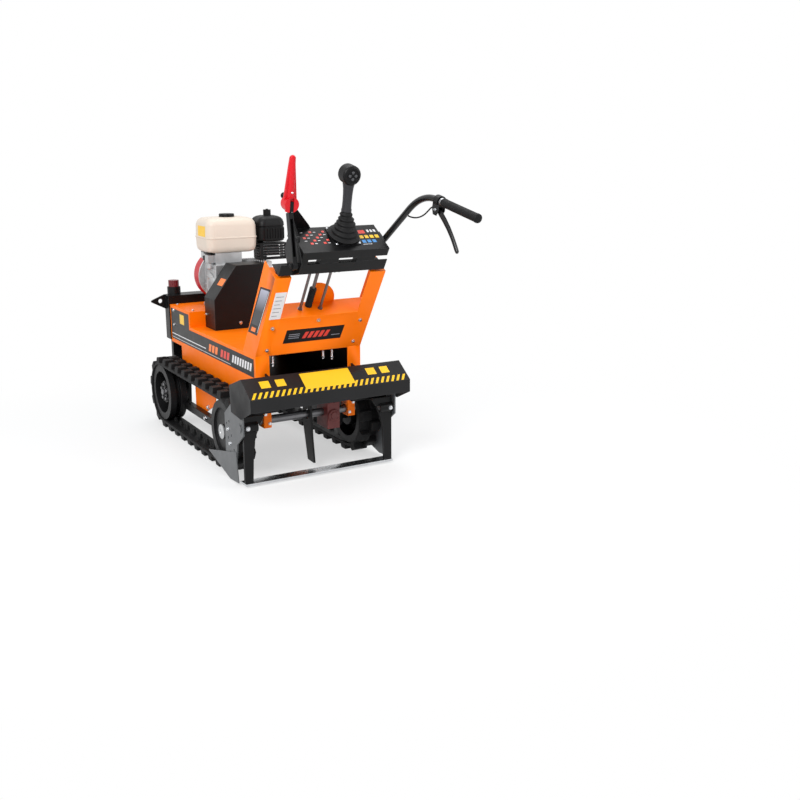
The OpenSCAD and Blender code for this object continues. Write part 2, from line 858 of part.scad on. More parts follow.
module track_belt() {
    pitch = belt_pitch_l / lug_n;
    inner_l = 2 * wheelbase + 2 * PI * belt_in_r;
    guide_l = 22;
    sink = 4;
    color(rubber) {
        side_ring();
        for (i = [0:lug_n - 1]) {
            loop_block((i + 0.25) * pitch, belt_out_r, track_in, lug_w, lug_l, lug_h, sink);
            loop_block((i + 0.75) * pitch, belt_out_r, track_out - lug_w, lug_w, lug_l, lug_h, sink);
            loop_block((i + 0.5) * inner_l / lug_n, belt_in_r, track_mid - guide_w / 2, guide_w, guide_l,
                -guide_h, sink - 1);
        }
    }
}

module side_ring() {
    translate([track_in, 0, 0]) rotate([90, 0, 90]) linear_extrude(track_w) difference() {
        loop_outline(belt_out_r);
        loop_outline(belt_in_r);
    }
}

module track_belt_left() {
    mirror([1, 0, 0]) track_belt();
}

module track_belt_right() {
    track_belt();
}

module drive_wheel() {
    w = wheel_out - wheel_in;
    s = guide_slot / 2;
    hub_r = 46;
    hub_l = w - 14;
    bore_l = 20;
    color(black) translate([wheel_in, drive_y, axle_z]) rotate([0, 90, 0]) {
        rotate_extrude() polygon([
            [axle_r + shaft_gap, 0], [wheel_r, 0], [wheel_r, w / 2 - s], [groove_r, w / 2 - s],
            [groove_r, w / 2 + s], [wheel_r, w / 2 + s], [wheel_r, w], [rim_r, w], [rim_r, web_t],
            [hub_r, web_t], [hub_r, hub_l], [0, hub_l], [0, bore_l], [axle_r + shaft_gap, bore_l]
        ]);
        for (i = [0:4])
            rotate([0, 0, 72 * i]) translate([hub_r - 13, 0, hub_l - eps]) cylinder(r = 8, h = 7, $fn = 6);
    }
}

module drive_wheel_left() {
    mirror([1, 0, 0]) drive_wheel();
}

module drive_wheel_right() {
    drive_wheel();
}

module idler() {
    w = wheel_out - wheel_in;
    s = guide_slot / 2;
    cap_r = axle_r + 7.5;
    bore_l = w - 16;
    disc_out = w - 8;
    disc_in = disc_out - web_t;
    color(black) translate([wheel_in, idler_y, axle_z]) rotate([0, 90, 0])
        rotate_extrude() polygon([
            [axle_r + shaft_gap, 0], [45, 0], [45, disc_in], [rim_r, disc_in], [rim_r, 0], [wheel_r, 0],
            [wheel_r, w / 2 - s], [groove_r, w / 2 - s], [groove_r, w / 2 + s], [wheel_r, w / 2 + s],
            [wheel_r, w], [rim_r, w], [rim_r, disc_out], [cap_r, disc_out], [cap_r, w + 4], [0, w + 4],
            [0, bore_l], [axle_r + shaft_gap, bore_l]
        ]);
}

module idler_left() {
    mirror([1, 0, 0]) idler();
}

module idler_right() {
    idler();
}

module track_frames() {
    beam_h = 30;
    y0 = idler_y + wheel_r + 6;
    y1 = drive_y - wheel_r - 6;
    color(black) both_sides()
        translate([body_half, y0, axle_z - 50]) cube([26, y1 - y0, beam_h]);
}

module drive_motors() {
    color(grey) both_sides() {
        x_rod(55, rail_side, wheel_in - 2, drive_y, axle_z);
        x_rod(axle_r, wheel_in - 2 - eps, wheel_in + 19, drive_y, axle_z);
    }
}

// Knives

module adjuster_plates() {
    x0 = cut_w / 2;
    pin_l = 55;
    head_l = 5;
    color(grey) both_sides() difference() {
        union() {
            side_plate(x0, plate_t, [
                [pivot_y - 22, pivot_z - 24], [pivot_y - 22, rail_z + rail_h], [pivot_y + 85, rail_z + rail_h],
                [pivot_y + 147, pivot_z + 23], [pivot_y + 147, pivot_z - 135], [pivot_y + 50, pivot_z - 135],
                [pivot_y + 35, pivot_z - 67]
            ]);
            x_rod(pivot_r, x0 - pin_l, x0 + eps, pivot_y, pivot_z);
            x_rod(pivot_r + 4, x0 + plate_t - eps, x0 + plate_t + head_l, pivot_y, pivot_z);
        }
        for (i = [0:2]) {
            x_rod(plate_hole_r, x0 - 1, x0 + plate_t + 1, pivot_y + 132 - 14 * i, pivot_z - 12 - 50 * i);
            x_rod(plate_hole_r, x0 - 1, x0 + plate_t + 1, pivot_y + 107 - 20 * i, pivot_z - 48 * i);
        }
    }
}

module side_knives() {
    x0 = cut_w / 2 + plate_t;
    color(grey) both_sides() side_plate(x0, knife_t, [
        [pivot_y + 44, pivot_z - 97], [pivot_y + 321, pivot_z - 159], [pivot_y + 106, 4], [pivot_y + 27, 9]
    ]);
}

module knife_arms() {
    top_z = pivot_z + 38;
    color("#3a3b3d") both_sides() difference() {
        union() {
            cross_plate(pivot_y - arm_t / 2, arm_t, [
                [arm_out, blade_z + blade_t], [arm_out, top_z], [arm_out - 80, top_z],
                [arm_out - 80, top_z - 5], [arm_out - 63, pivot_z + 6], [arm_out - 46, pivot_z - 36],
                [arm_out - 37, pivot_z - 77], [arm_out - 31, blade_z + blade_t]
            ]);
            x_rod(pivot_r + 10, arm_out - 52, arm_out, pivot_y, pivot_z);
        }
        x_rod(pivot_r + shaft_gap, arm_out - 90, arm_out + 1, pivot_y, pivot_z);
    }
}

module knife_blade() {
    y0 = pivot_y - 15;
    y1 = y0 + blade_d;
    bevel = 22;
    color(steel) side_plate(-arm_out, 2 * arm_out, [
        [y0, blade_z], [y1 - bevel, blade_z], [y1, blade_z + 1], [y1 - bevel, blade_z + blade_t],
        [y0, blade_z + blade_t]
    ]);
}

module centre_slicer() {
    slicer_t = 8;
    color(black) difference() {
        side_plate(-slicer_t / 2, slicer_t, [
            [ecc_y - 30, rail_z], [ecc_y + 35, rail_z], [ecc_y + 35, ecc_z - 35], [ecc_y, 30],
            [ecc_y - 52, 28], [ecc_y - 38, ecc_z - 85]
        ]);
        x_rod(ecc_r + 4, -slicer_t, slicer_t, ecc_y, ecc_z);
    }
}

module eccentric_shaft() {
    color(steel) {
        x_rod(ecc_r, -rail_side - 4, rail_side + 4, ecc_y, ecc_z);
        x_rod(ecc_r + 11, housing_x + 10, housing_x + 40, ecc_y + ecc_throw, ecc_z);
    }
}

module eccentric_housing() {
    cavity_r = ecc_r + 11 + ecc_throw + 2;
    color("#5c1e1c") difference() {
        translate([housing_x, ecc_y - 45, ecc_z - 58]) cube([50, 90, rail_z - ecc_z + 58]);
        x_rod(cavity_r, housing_x + 6, housing_x + 44, ecc_y, ecc_z);
        x_rod(ecc_r + shaft_gap, housing_x - 1, housing_x + 51, ecc_y, ecc_z);
    }
}

module bearing_caps() {
    color(orange) both_sides() difference() {
        translate([rail_in + 5, ecc_y - 25, ecc_z - 25]) cube([30, 50, rail_z - ecc_z + 25]);
        x_rod(ecc_r + shaft_gap, rail_in, rail_side, ecc_y, ecc_z);
    }
}

// Push cover

module cover_knuckle() {
    knuckle_x = body_half + 20;
    knuckle_r = hinge_r + 5;
    slope = cover_rise / cover_d;
    difference() {
        union() {
            side_plate(knuckle_x, 12, [
                [35, fold_z + 35 * slope - 2], [cover_d, fold_z + cover_rise - 2],
                [hinge_y, hinge_z + knuckle_r], [hinge_y, hinge_z - knuckle_r]
            ]);
            x_rod(knuckle_r, knuckle_x, knuckle_x + 12, hinge_y, hinge_z);
        }
        x_rod(hinge_r + shaft_gap, knuckle_x - 1, knuckle_x + 13, hinge_y, hinge_z);
    }
}

module push_cover() {
    cheek_t = 3.5;
    tilt = atan2(cover_rise, cover_d);
    top_z = fold_z + cover_rise;
    sheet_half = cover_half - cheek_t;
    color("#2c2c2e") {
        side_plate(-sheet_half - eps, 2 * (sheet_half + eps), [
            [0, flange_z], [0, fold_z], [cover_d, top_z],
            [cover_d + cover_t * sin(tilt), top_z - cover_t * cos(tilt)],
            [cover_t, fold_z + cover_t * tan(tilt) - cover_t / cos(tilt)], [cover_t, flange_z]
        ]);
        both_sides() {
            side_plate(sheet_half, cheek_t, [
                [0, fold_z], [0, flange_z], [89, flange_z - 41], [hinge_y + 30, flange_z - 34],
                [hinge_y + 38, fold_z + 16], [cover_d, top_z]
            ]);
            cover_knuckle();
        }
    }
}

module hinge_tube() {
    bracket_x = body_half - 40;
    tube_half = cover_half - 18;
    color(black) difference() {
        union() {
            x_rod(hinge_r, -tube_half, tube_half, hinge_y, hinge_z);
            both_sides() side_plate(bracket_x, 6, [
                [hinge_y, hinge_z - hinge_r + 2], [body_rear, hinge_z - 25], [body_rear, hinge_z + 25],
                [hinge_y, hinge_z + hinge_r - 2]
            ]);
        }
        x_rod(hinge_r - 4, -tube_half - 1, tube_half + 1, hinge_y, hinge_z);
    }
}

// Console

module console_frame() {
    frame_half = body_half - 10;
    beam_h = 42;
    leg_d = 28;
    plate_t2 = 4;
    color(black) tower_frame() {
        translate([-frame_half, 0, frame_z]) cube([2 * frame_half, 60, 4]);
        translate([-frame_half, 0, frame_z]) cube([2 * frame_half, 4, beam_h]);
        for (span = [[tray_l + 4, 22], [tray_l + 72, 68], [tray_l + 210, 70]])
            translate([span[0], tray_y + tray_wall, frame_z])
                cube([span[1], leg_d, panel_z - tray_wall - frame_z]);
        side_plate(lever_plate_x, plate_t2, [
            [clutch_pivot[0] - 16, clutch_pivot[1] - 20], [clutch_pivot[0] - 16, clutch_pivot[1] + 20],
            [throttle_pivot[0] - 18, throttle_pivot[1] + 18], [throttle_pivot[0] + 18, throttle_pivot[1] + 18],
            [throttle_pivot[0] + 43, tray_z + 14], [throttle_pivot[0] + 43, tray_z - 23],
            [40, frame_z], [0, frame_z]
        ]);
        x_rod(lever_pin_r, clutch_at - 9, lever_plate_x + eps, clutch_pivot[0], clutch_pivot[1]);
        x_rod(lever_pin_r - 3, lever_plate_x, throttle_x + 4.5, throttle_pivot[0], throttle_pivot[1]);
    }
}

module console_tray() {
    flange_half = 50;
    ear = 5;
    color(black) tower_frame() {
        difference() {
            translate([tray_l, tray_y, tray_z]) cube([tray_w, tray_d, tray_h]);
            translate([tray_l + tray_wall, tray_y + tray_wall, tray_z - 1])
                cube([tray_w - 2 * tray_wall, tray_d - 2 * tray_wall, tray_h - tray_wall + 1]);
        }
        cross_plate(tray_y + tray_d - tray_wall, tray_wall, [
            [tray_l, panel_z - eps], [tray_l + 78, panel_z - eps], [tray_l + 70, panel_z + 12],
            [tray_l + 8, panel_z + 82], [tray_l, panel_z + 82]
        ]);
        translate([stick_x, stick_y, panel_z - eps]) {
            linear_extrude(flange_t + eps) rounded_square(2 * flange_half, 2 * flange_half, 8);
            for (sx = [-1, 1])
                difference() {
                    translate([sx * 30.5 - ear / 2, -8, flange_t]) cube([ear, 16, gimbal_h + 3]);
                    x_rod(gimbal_pin_r + shaft_gap, sx * 30.5 - ear, sx * 30.5 + ear, 0, gimbal_h + eps);
                }
        }
    }
}

module rubber_mounts() {
    color(rubber) both_sides() tower_frame()
        translate([body_half - post_w / 2, 30, tower_l]) cylinder(r = mount_r, h = mount_h);
}

module joystick_gimbal() {
    color(steel) stick_frame() difference() {
        union() {
            translate([0, 0, -5]) cylinder(r = gimbal_r, h = 10);
            x_rod(gimbal_pin_r, -33.5, 33.5, 0, 0);
        }
        translate([0, 0, -6]) cylinder(r = gimbal_r - 6, h = 12);
        y_rod(gimbal_pin_r + shaft_gap, -gimbal_r - 1, gimbal_r + 1, 0, 0);
    }
}

// One rib of the boot: a double cone that leans as far as its share of the stick's lean
module boot_rib(i, cavity) {
    share = i / (boot_ribs - 1);
    pitch = boot_h / boot_ribs;
    lap = 1.5;
    low = i == 0 ? pitch / 2 : pitch / 2 + lap;
    high = i == boot_ribs - 1 ? pitch / 2 : pitch / 2 + lap;
    r = boot_r - (boot_r - 22) * pow(share, 0.8);
    bore = i == boot_ribs - 1 ? stick_r + run_gap : r - 10;
    tower_frame() translate([stick_x, stick_y, panel_z + gimbal_h]) rotate([-stick_lean * share, 0, 0])
        translate([0, 0, flange_t - gimbal_h + (i + 0.5) * pitch]) {
            if (cavity)
                translate([0, 0, -low - 1]) cylinder(r = bore, h = low + high + 2);
            else
                rotate_extrude() polygon([
                    [0, -low], [r - 4, -low], [r, -1.5], [r, 1.5], [r - 4, high], [0, high]
                ]);
        }
}

module joystick_boot() {
    color(rubber) difference() {
        for (i = [0:boot_ribs - 1]) boot_rib(i, false);
        for (i = [0:boot_ribs - 1]) boot_rib(i, true);
    }
}

module stick_head() {
    edge = 8;
    intersection() {
        rotate([90, 0, 0]) rotate_extrude() polygon([
            [0, -head_d / 2], [head_r - edge, -head_d / 2], [head_r - edge / 3, -head_d / 2 + edge / 3],
            [head_r, -head_d / 2 + edge], [head_r, head_d / 2 - edge],
            [head_r - edge / 3, head_d / 2 - edge / 3], [head_r - edge, head_d / 2], [0, head_d / 2]
        ]);
        translate([-head_r, -head_d / 2, -30]) cube([2 * head_r, head_d, 60]);
    }
}

module joystick_handle() {
    grip_z = boot_h + flange_t - gimbal_h + 1;
    color(grey) stick_frame() difference() {
        union() {
            translate([0, 0, -12]) cylinder(r = stick_r, h = grip_z + 20);
            y_rod(gimbal_pin_r, -gimbal_r + 0.1, gimbal_r - 0.1, 0, 0);
            rotate_extrude() polygon([
                [0, grip_z], [17, grip_z], [17.5, grip_z + 30], [18, (grip_z + head_z) / 2],
                [19, head_z - 40], [22, head_z - 24], [22, head_z], [0, head_z]
            ]);
            translate([0, 0, head_z]) stick_head();
        }
        for (p = button_places)
            y_rod(button_r + 0.1, -head_d / 2 - 1, -head_d / 2 + 11, p[0], head_z + p[1]);
    }
}

module button(p) {
    color("#d9d9d6") stick_frame()
        y_rod(button_r, -head_d / 2 - button_proud, -head_d / 2 + 9 - button_travel, p[0], head_z + p[1]);
}

module button_top() {
    button(button_places[0]);
}

module button_bottom() {
    button(button_places[1]);
}

module button_left() {
    button(button_places[2]);
}

module button_right() {
    button(button_places[3]);
}

// Clutch and throttle levers

module clutch_arm() {
    color(black) clutch_frame() difference() {
        union() {
            translate([-8, -12, 0]) cube([16, 24, clutch_arm_l]);
            x_rod(15, -8, 8, 0, 0);
        }
        x_rod(lever_pin_r + shaft_gap, -9, 9, 0, 0);
        translate([-5, -13, 28]) cube([10, 20, clutch_arm_l - 48]);
    }
}

module clutch_handle() {
    bulge_r = 25;
    slot_h = 34 + latch_travel + 4;
    color(red) handle_frame() difference() {
        union() {
            cylinder(r1 = 15, r2 = 10, h = clutch_grip_l - 6);
            translate([0, 0, clutch_grip_l - 10]) sphere(r = 10);
            y_rod(bulge_r, -latch_r, latch_r, 0, bulge_r);
        }
        translate([-7, -latch_r - 1, -1]) cube([14, latch_d + 1.5, slot_h]);
    }
}

module clutch_latch() {
    color(black) handle_frame() translate([-6.5, -latch_r, 1.2]) cube([13, latch_d, 34]);
}

module throttle_lever() {
    cant = 36;
    color(black) tower_frame() translate([throttle_x, throttle_pivot[0], throttle_pivot[1]])
        rotate([-tower_lean - cant, 0, 0]) difference() {
            union() {
                translate([-4, -7, 0]) cube([8, 14, throttle_l]);
                x_rod(11, -4, 4, 0, 0);
                translate([0, 0, throttle_l]) sphere(r = throttle_knob_r);
            }
            x_rod(lever_pin_r - 3 + shaft_gap, -5, 5, 0, 0);
        }
}

module control_rods() {
    color(grey) tower_frame() {
        for (p = rod_places)
            translate([p[0], p[1], panel_l - 60]) cylinder(r = rod_r, h = frame_z - panel_l + 60);
        translate([quadrant_x - 18, shelf_d - 20, panel_l]) {
            cylinder(r = 13, h = 78);
            cylinder(r = 6, h = frame_z - panel_l);
        }
    }
}

// Handlebar

function unit(v) = v / norm(v);

// Point of the curve from a to c that bends towards b
function bend_point(a, b, c, t) = pow(1 - t, 2) * a + 2 * t * (1 - t) * b + t * t * c;

module handlebar() {
    foot = tower_point([tray_r + 5 + bar_r, 65, panel_z - 15]);
    bend = [bar_x, bend_y, bend_z];
    end = [bar_x, bar_end_y, bar_end_z];
    reach = 90;
    steps = 8;
    a = bend + reach * unit(foot - bend);
    c = bend + reach * unit(end - bend);
    curve = [for (i = [0:steps]) bend_point(a, bend, c, i / steps)];
    color(black) {
        tower_frame() translate([tray_r, 38, panel_z - 29]) cube([6, 54, 28]);
        swept_tube(concat([foot], curve, [end]), bar_r, 24);
    }
}

module hand_grip() {
    color(rubber) bar_frame() difference() {
        union() {
            y_rod(grip_r - 1, -grip_cap, grip_l, 0, 0);
            y_rod(grip_r, -grip_cap, 8, 0, 0);
            y_rod(grip_r, grip_l - 10, grip_l, 0, 0);
        }
        y_rod(bar_r + shaft_gap, 0, grip_l + 1, 0, 0);
    }
}

module lever_clamp() {
    color(black) bar_frame() difference() {
        union() {
            y_rod(bar_r + 7, clamp_y - clamp_w / 2, clamp_y + clamp_w / 2, 0, 0);
            for (x = [-11, 7])
                side_plate(x, 4, [
                    [clamp_y - 10, -bar_r - 2], [clamp_y + 10, -bar_r - 2],
                    [clamp_y + 9, -lever_drop_z - 9], [clamp_y - 9, -lever_drop_z - 9]
                ]);
            x_rod(4, -11, 11, clamp_y, -lever_drop_z);
            translate([-11, clamp_y + 9, -lever_drop_z - 4]) cube([22, 8, 9]);
        }
        y_rod(bar_r + shaft_gap, clamp_y - clamp_w, clamp_y + clamp_w, 0, 0);
    }
}

module hand_lever() {
    half = 6.5;
    down = [-cos(lever_drop), -sin(lever_drop)];
    up = [-sin(lever_drop), cos(lever_drop)];
    pivot = [clamp_y, -lever_drop_z];
    color(black) bar_frame() difference() {
        union() {
            x_rod(8, -half, half, pivot[0], pivot[1]);
            side_plate(-half, 2 * half, [
                pivot + 7 * up, pivot + 0.35 * lever_l * down + 4 * up, pivot + 0.7 * lever_l * down + 5 * up,
                pivot + lever_l * down + 9 * up, pivot + lever_l * down + 1 * up,
                pivot + 0.7 * lever_l * down - 5 * up, pivot + 0.35 * lever_l * down - 7 * up, pivot - 7 * up
            ]);
            x_rod(7, -half, half, (pivot + lever_l * down + 5 * up)[0], (pivot + lever_l * down + 5 * up)[1]);
        }
        x_rod(4 + shaft_gap, -half - 1, half + 1, pivot[0], pivot[1]);
    }
}

// Tube along a route of points, swept as one closed skin
module swept_tube(route, r, sides) {
    n = len(route);
    function along(i) = let (v = route[min(i + 1, n - 1)] - route[max(i - 1, 0)]) v / norm(v);
    function across(i) = let (v = cross(along(i), [1, 0, 0])) v / norm(v);
    points = [for (i = [0:n - 1], k = [0:sides - 1])
        let (u = across(i), w = cross(along(i), u), a = 360 * k / sides)
        route[i] + r * (cos(a) * u + sin(a) * w)];
    skin = [for (i = [0:n - 2], k = [0:sides - 1])
        let (a = i * sides + k, b = i * sides + (k + 1) % sides)
        each [[a, a + sides, b], [b, a + sides, b + sides]]];
    ends = [[for (k = [0:sides - 1]) k], [for (k = [sides - 1:-1:0]) (n - 1) * sides + k]];
    polyhedron(points, concat(skin, ends));
}

module lever_cable() {
    color(rubber) swept_tube(cable_route, cable_r, 8);
}

at_origin() chassis_frame();
at_origin() body_panel_left();
at_origin() body_panel_right();
at_origin() deck();
at_origin() rear_tower();
at_origin() bumper_tank();
at_origin() filler_cap();
at_origin() engine_crankcase();
at_origin() engine_cylinder();
at_origin() fan_cover();
at_origin() recoil_grip();
at_origin() fuel_tank();
at_origin() fuel_cap();
at_origin() air_cleaner();
at_origin() air_cleaner_knob();
at_origin() muffler();
at_origin() muffler_guard();
at_origin() crankshaft();
at_origin() pump_pulley();
at_origin() drive_belt();
at_origin() hydraulic_pump();
at_origin() belt_guard();
at_origin() track_belt_left();
at_origin() track_belt_right();
at_origin() drive_wheel_left();
at_origin() drive_wheel_right();
at_origin() idler_left();
at_origin() idler_right();
at_origin() track_frames();
at_origin() drive_motors();
at_origin() adjuster_plates();
at_origin() side_knives();
at_origin() knife_arms();
at_origin() knife_blade();
at_origin() centre_slicer();
at_origin() eccentric_shaft();
at_origin() eccentric_housing();
at_origin() bearing_caps();
at_origin() push_cover();
at_origin() hinge_tube();
at_origin() console_frame();
at_origin() console_tray();
at_origin() rubber_mounts();
at_origin() joystick_gimbal();
at_origin() joystick_boot();
at_origin() joystick_handle();
at_origin() button_top();
at_origin() button_bottom();
at_origin() button_left();
at_origin() button_right();
at_origin() clutch_arm();
at_origin() clutch_handle();
at_origin() clutch_latch();
at_origin() throttle_lever();
at_origin() control_rods();
at_origin() handlebar();
at_origin() hand_grip();
at_origin() lever_clamp();
at_origin() hand_lever();
at_origin() lever_cable();
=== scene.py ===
"""Looks of a walk-behind crawler sod cutter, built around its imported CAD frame.

Sizes are in millimetres in the frame of each section and become metres when a piece is finished.
+X is the operator's right, +Y is forward, heights start at the ground and lengths at the fold line
of the push cover.
"""
import json
import math

import bmesh
import bpy
from mathutils import Matrix, Vector

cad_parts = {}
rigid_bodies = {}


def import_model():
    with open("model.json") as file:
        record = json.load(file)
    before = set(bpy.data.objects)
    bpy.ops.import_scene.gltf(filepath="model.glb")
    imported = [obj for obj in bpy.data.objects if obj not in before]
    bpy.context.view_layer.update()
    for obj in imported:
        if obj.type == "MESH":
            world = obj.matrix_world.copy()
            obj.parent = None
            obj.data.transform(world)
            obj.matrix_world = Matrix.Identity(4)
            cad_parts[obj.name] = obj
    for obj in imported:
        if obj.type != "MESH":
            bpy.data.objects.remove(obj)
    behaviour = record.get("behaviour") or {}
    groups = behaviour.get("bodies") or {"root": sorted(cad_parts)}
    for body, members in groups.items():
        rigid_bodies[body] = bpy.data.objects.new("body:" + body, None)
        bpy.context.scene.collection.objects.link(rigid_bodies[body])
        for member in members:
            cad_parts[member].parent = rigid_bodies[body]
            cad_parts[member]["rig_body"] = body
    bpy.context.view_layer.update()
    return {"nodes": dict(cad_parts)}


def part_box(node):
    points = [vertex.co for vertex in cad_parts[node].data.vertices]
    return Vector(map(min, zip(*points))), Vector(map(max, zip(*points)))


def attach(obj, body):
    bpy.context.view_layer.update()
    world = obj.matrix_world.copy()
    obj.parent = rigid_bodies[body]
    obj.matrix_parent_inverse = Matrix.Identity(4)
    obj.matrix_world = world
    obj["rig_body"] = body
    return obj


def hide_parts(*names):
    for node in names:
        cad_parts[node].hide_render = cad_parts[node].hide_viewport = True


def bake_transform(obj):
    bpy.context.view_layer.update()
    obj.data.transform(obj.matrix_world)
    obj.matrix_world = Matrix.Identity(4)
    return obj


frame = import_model()
NODES = frame["nodes"]

# Places and leans of the sections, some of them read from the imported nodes

MM = 0.001
SHEET = 3
FOLD_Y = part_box("push_cover")[0].y
FOLD_Z = 342
COVER_LEAN = 35
DECK_LOW, DECK_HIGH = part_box("deck")
DECK_Z = DECK_LOW.z / MM + SHEET
PLATFORM_Z = DECK_HIGH.z / MM
BODY_REAR = (DECK_LOW.y - FOLD_Y) / MM - SHEET
BODY_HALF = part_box("body_panel_right")[1].x / MM
TOWER_LEAN = 33
PANEL_Z = 457
STICK_AT = (47, 74, PANEL_Z + 22)
STICK_LEAN = -21
CLUTCH_AT = (-166, -21, 423)
CLUTCH_LEAN = -41
HANDLE_UP = 174.3
HANDLE_LEAN = 20
BAR_END = (240, -515, 954)
BAR_BEND = (240, -195, 1017)
BAR_TILT = math.degrees(math.atan2(BAR_BEND[2] - BAR_END[2], BAR_BEND[1] - BAR_END[1]))

SIDES = ((-1, "left"), (1, "right"))
UP = (0, 0, 1)
DOWN = (0, 0, -1)
AHEAD = (0, 1, 0)
BACK = (0, -1, 0)
RIGHT = (1, 0, 0)
LEFT = (-1, 0, 0)


def shift(x, y, z):
    """Frame moved along its axes."""
    return Matrix.Translation((x, y, z))


def turn(degrees, axis):
    """Frame turned about one of its axes."""
    return Matrix.Rotation(math.radians(degrees), 4, axis)


def facing(point, direction):
    """Frame at a point with its Z axis along a direction."""
    return Matrix.Translation(point) @ Vector(direction).to_track_quat("Z", "Y").to_matrix().to_4x4()


def side_frame(side, x):
    """Frame on a side face: its X runs forward, its Y up and its Z outwards."""
    return GROUND @ Matrix(((0, 0, side, side * x), (1, 0, 0, 0), (0, 1, 0, 0), (0, 0, 0, 1)))


GROUND = shift(0, FOLD_Y, 0) @ Matrix.Scale(MM, 4)
COVER = GROUND @ shift(0, 0, FOLD_Z) @ turn(COVER_LEAN, "X")
TOWER = GROUND @ shift(0, BODY_REAR, DECK_Z) @ turn(TOWER_LEAN, "X")
REAR = TOWER @ turn(90, "X")
CONSOLE = TOWER @ shift(0, 0, PANEL_Z)
STICK = TOWER @ shift(*STICK_AT) @ turn(STICK_LEAN, "X")
CLUTCH = TOWER @ shift(*CLUTCH_AT) @ turn(CLUTCH_LEAN, "X")
HANDLE = CLUTCH @ shift(0, 0, HANDLE_UP) @ turn(HANDLE_LEAN, "X")
BAR = GROUND @ shift(*BAR_END) @ turn(BAR_TILT, "X")
ALONG_BAR = BAR @ turn(-90, "X")

# Shapes, all in millimetres

AXIS_R = 0.02


def around(steps):
    """Angles that share out a full turn."""
    return [2 * math.pi * k / steps for k in range(steps)]


def ring_at(at, radius, z, steps):
    """Round ring about the Z axis of a frame."""
    return [at @ Vector((radius * math.cos(a), radius * math.sin(a), z)) for a in around(steps)]


def level(outline, z, at=Matrix()):
    """Outline of (x, y) points at a height of a frame."""
    return [at @ Vector((x, y, z)) for x, y in outline]


def patch(x0, x1, y0, y1, lean=0.0):
    """Outline of a rectangle whose upper end is shifted sideways."""
    return [(x0, y0), (x1, y0), (x1 + lean, y1), (x0 + lean, y1)]


def rounded_outline(w, d, r, steps=6):
    """Outline of a rectangle with round corners, centred on the origin."""
    points = []
    for cx, cy, start in ((1, 1, 0), (-1, 1, 90), (-1, -1, 180), (1, -1, 270)):
        for k in range(steps + 1):
            a = math.radians(start + 90 * k / steps)
            points.append((cx * (w / 2 - r) + r * math.cos(a), cy * (d / 2 - r) + r * math.sin(a)))
    return points


def cylinder(radius, z0, z1):
    """Lathe profile of a plain cylinder."""
    return [(0, z0), (radius, z0), (radius, z1), (0, z1)]


def join_rows(bm, rows):
    """Skin between rows of vertices that each close on themselves."""
    count = len(rows[0])
    for low, high in zip(rows, rows[1:]):
        for k in range(count):
            nxt = (k + 1) % count
            bm.faces.new((low[k], low[nxt], high[nxt], high[k]))


def add_loft(bm, rings):
    """Closed skin through rings of the same number of points, capped at both ends."""
    rows = [[bm.verts.new(p) for p in ring] for ring in rings]
    join_rows(bm, rows)
    bm.faces.new(rows[0][::-1])
    bm.faces.new(rows[-1])


def add_loop(bm, rings):
    """Closed skin through rings whose last one runs back into the first."""
    rows = [[bm.verts.new(p) for p in ring] for ring in rings]
    join_rows(bm, rows + rows[:1])


def add_prism(bm, outline, z0, z1, at=Matrix()):
    """Outline drawn out from one height of a frame to another."""
    add_loft(bm, [level(outline, z, at) for z in (z0, z1)])


def add_box(bm, low, high, at=Matrix()):
    """Block between two opposite corners."""
    add_prism(bm, patch(low[0], high[0], low[1], high[1]), low[2], high[2], at)


def add_lathe(bm, profile, at=Matrix(), steps=48):
    """Solid of revolution about Z. The profile runs from one end of the axis to the other as (radius, z)."""
    add_loft(bm, [ring_at(at, max(radius, AXIS_R), z, steps) for radius, z in profile])


def add_ring(bm, profile, steps=48):
    """Closed ring about Z whose section is the profile of (radius, z) points."""
    add_loop(bm, [[Vector((r * math.cos(a), r * math.sin(a), z)) for r, z in profile] for a in around(steps)])


def curve_through(points, per_span=6):
    """Smooth (Catmull-Rom) curve through points, as a list of points."""
    pts = [Vector(p) for p in points]
    pts = [2 * pts[0] - pts[1]] + pts + [2 * pts[-1] - pts[-2]]
    out = []
    for a, b, c, d in zip(pts, pts[1:], pts[2:], pts[3:]):
        for k in range(per_span):
            t = k / per_span
            out.append(0.5 * (2 * b + (c - a) * t + (2 * a - 5 * b + 4 * c - d) * t * t
                              + (3 * b - a - 3 * c + d) * t ** 3))
    return out + [pts[-2]]


def add_tube(bm, points, radius, sides):
    """Round tube along points."""
    pts = [Vector(p) for p in points]
    rings = []
    for i, p in enumerate(pts):
        along = (pts[min(i + 1, len(pts) - 1)] - pts[max(i - 1, 0)]).normalized()
        across = Vector(RIGHT) if abs(along.x) < 0.9 else Vector(AHEAD)
        side = along.cross(across).normalized()
        other = along.cross(side)
        rings.append([p + radius * (math.cos(a) * side + math.sin(a) * other) for a in around(sides)])
    add_loft(bm, rings)


def add_shell(bm, size, corner, levels, centre=(0, 0)):
    """Moulded housing of rounded rectangles, each given as (height, inset from the full size).

    The corner is its full radius, what it loses with each millimetre of inset, and its least radius.
    """
    full, loss, least = corner
    rings = []
    for z, inset in levels:
        radius = max(full - loss * inset, least)
        outline = rounded_outline(size[0] - 2 * inset, size[1] - 2 * inset, radius, 8)
        rings.append(level([(centre[0] + x, centre[1] + y) for x, y in outline], z))
    add_loft(bm, rings)


# Bolt heads, in shares of the thread's diameter

HEX_HALF = 0.87
HEX_H = 0.65
HEX_EDGE_H = 0.85
HEX_TOP_R = 0.86
WASHER_H = 0.15
DOME_H = 0.55
SOCKET_RIM = 0.45
SOCKET_R = 0.4
SOCKET_Z = 0.2


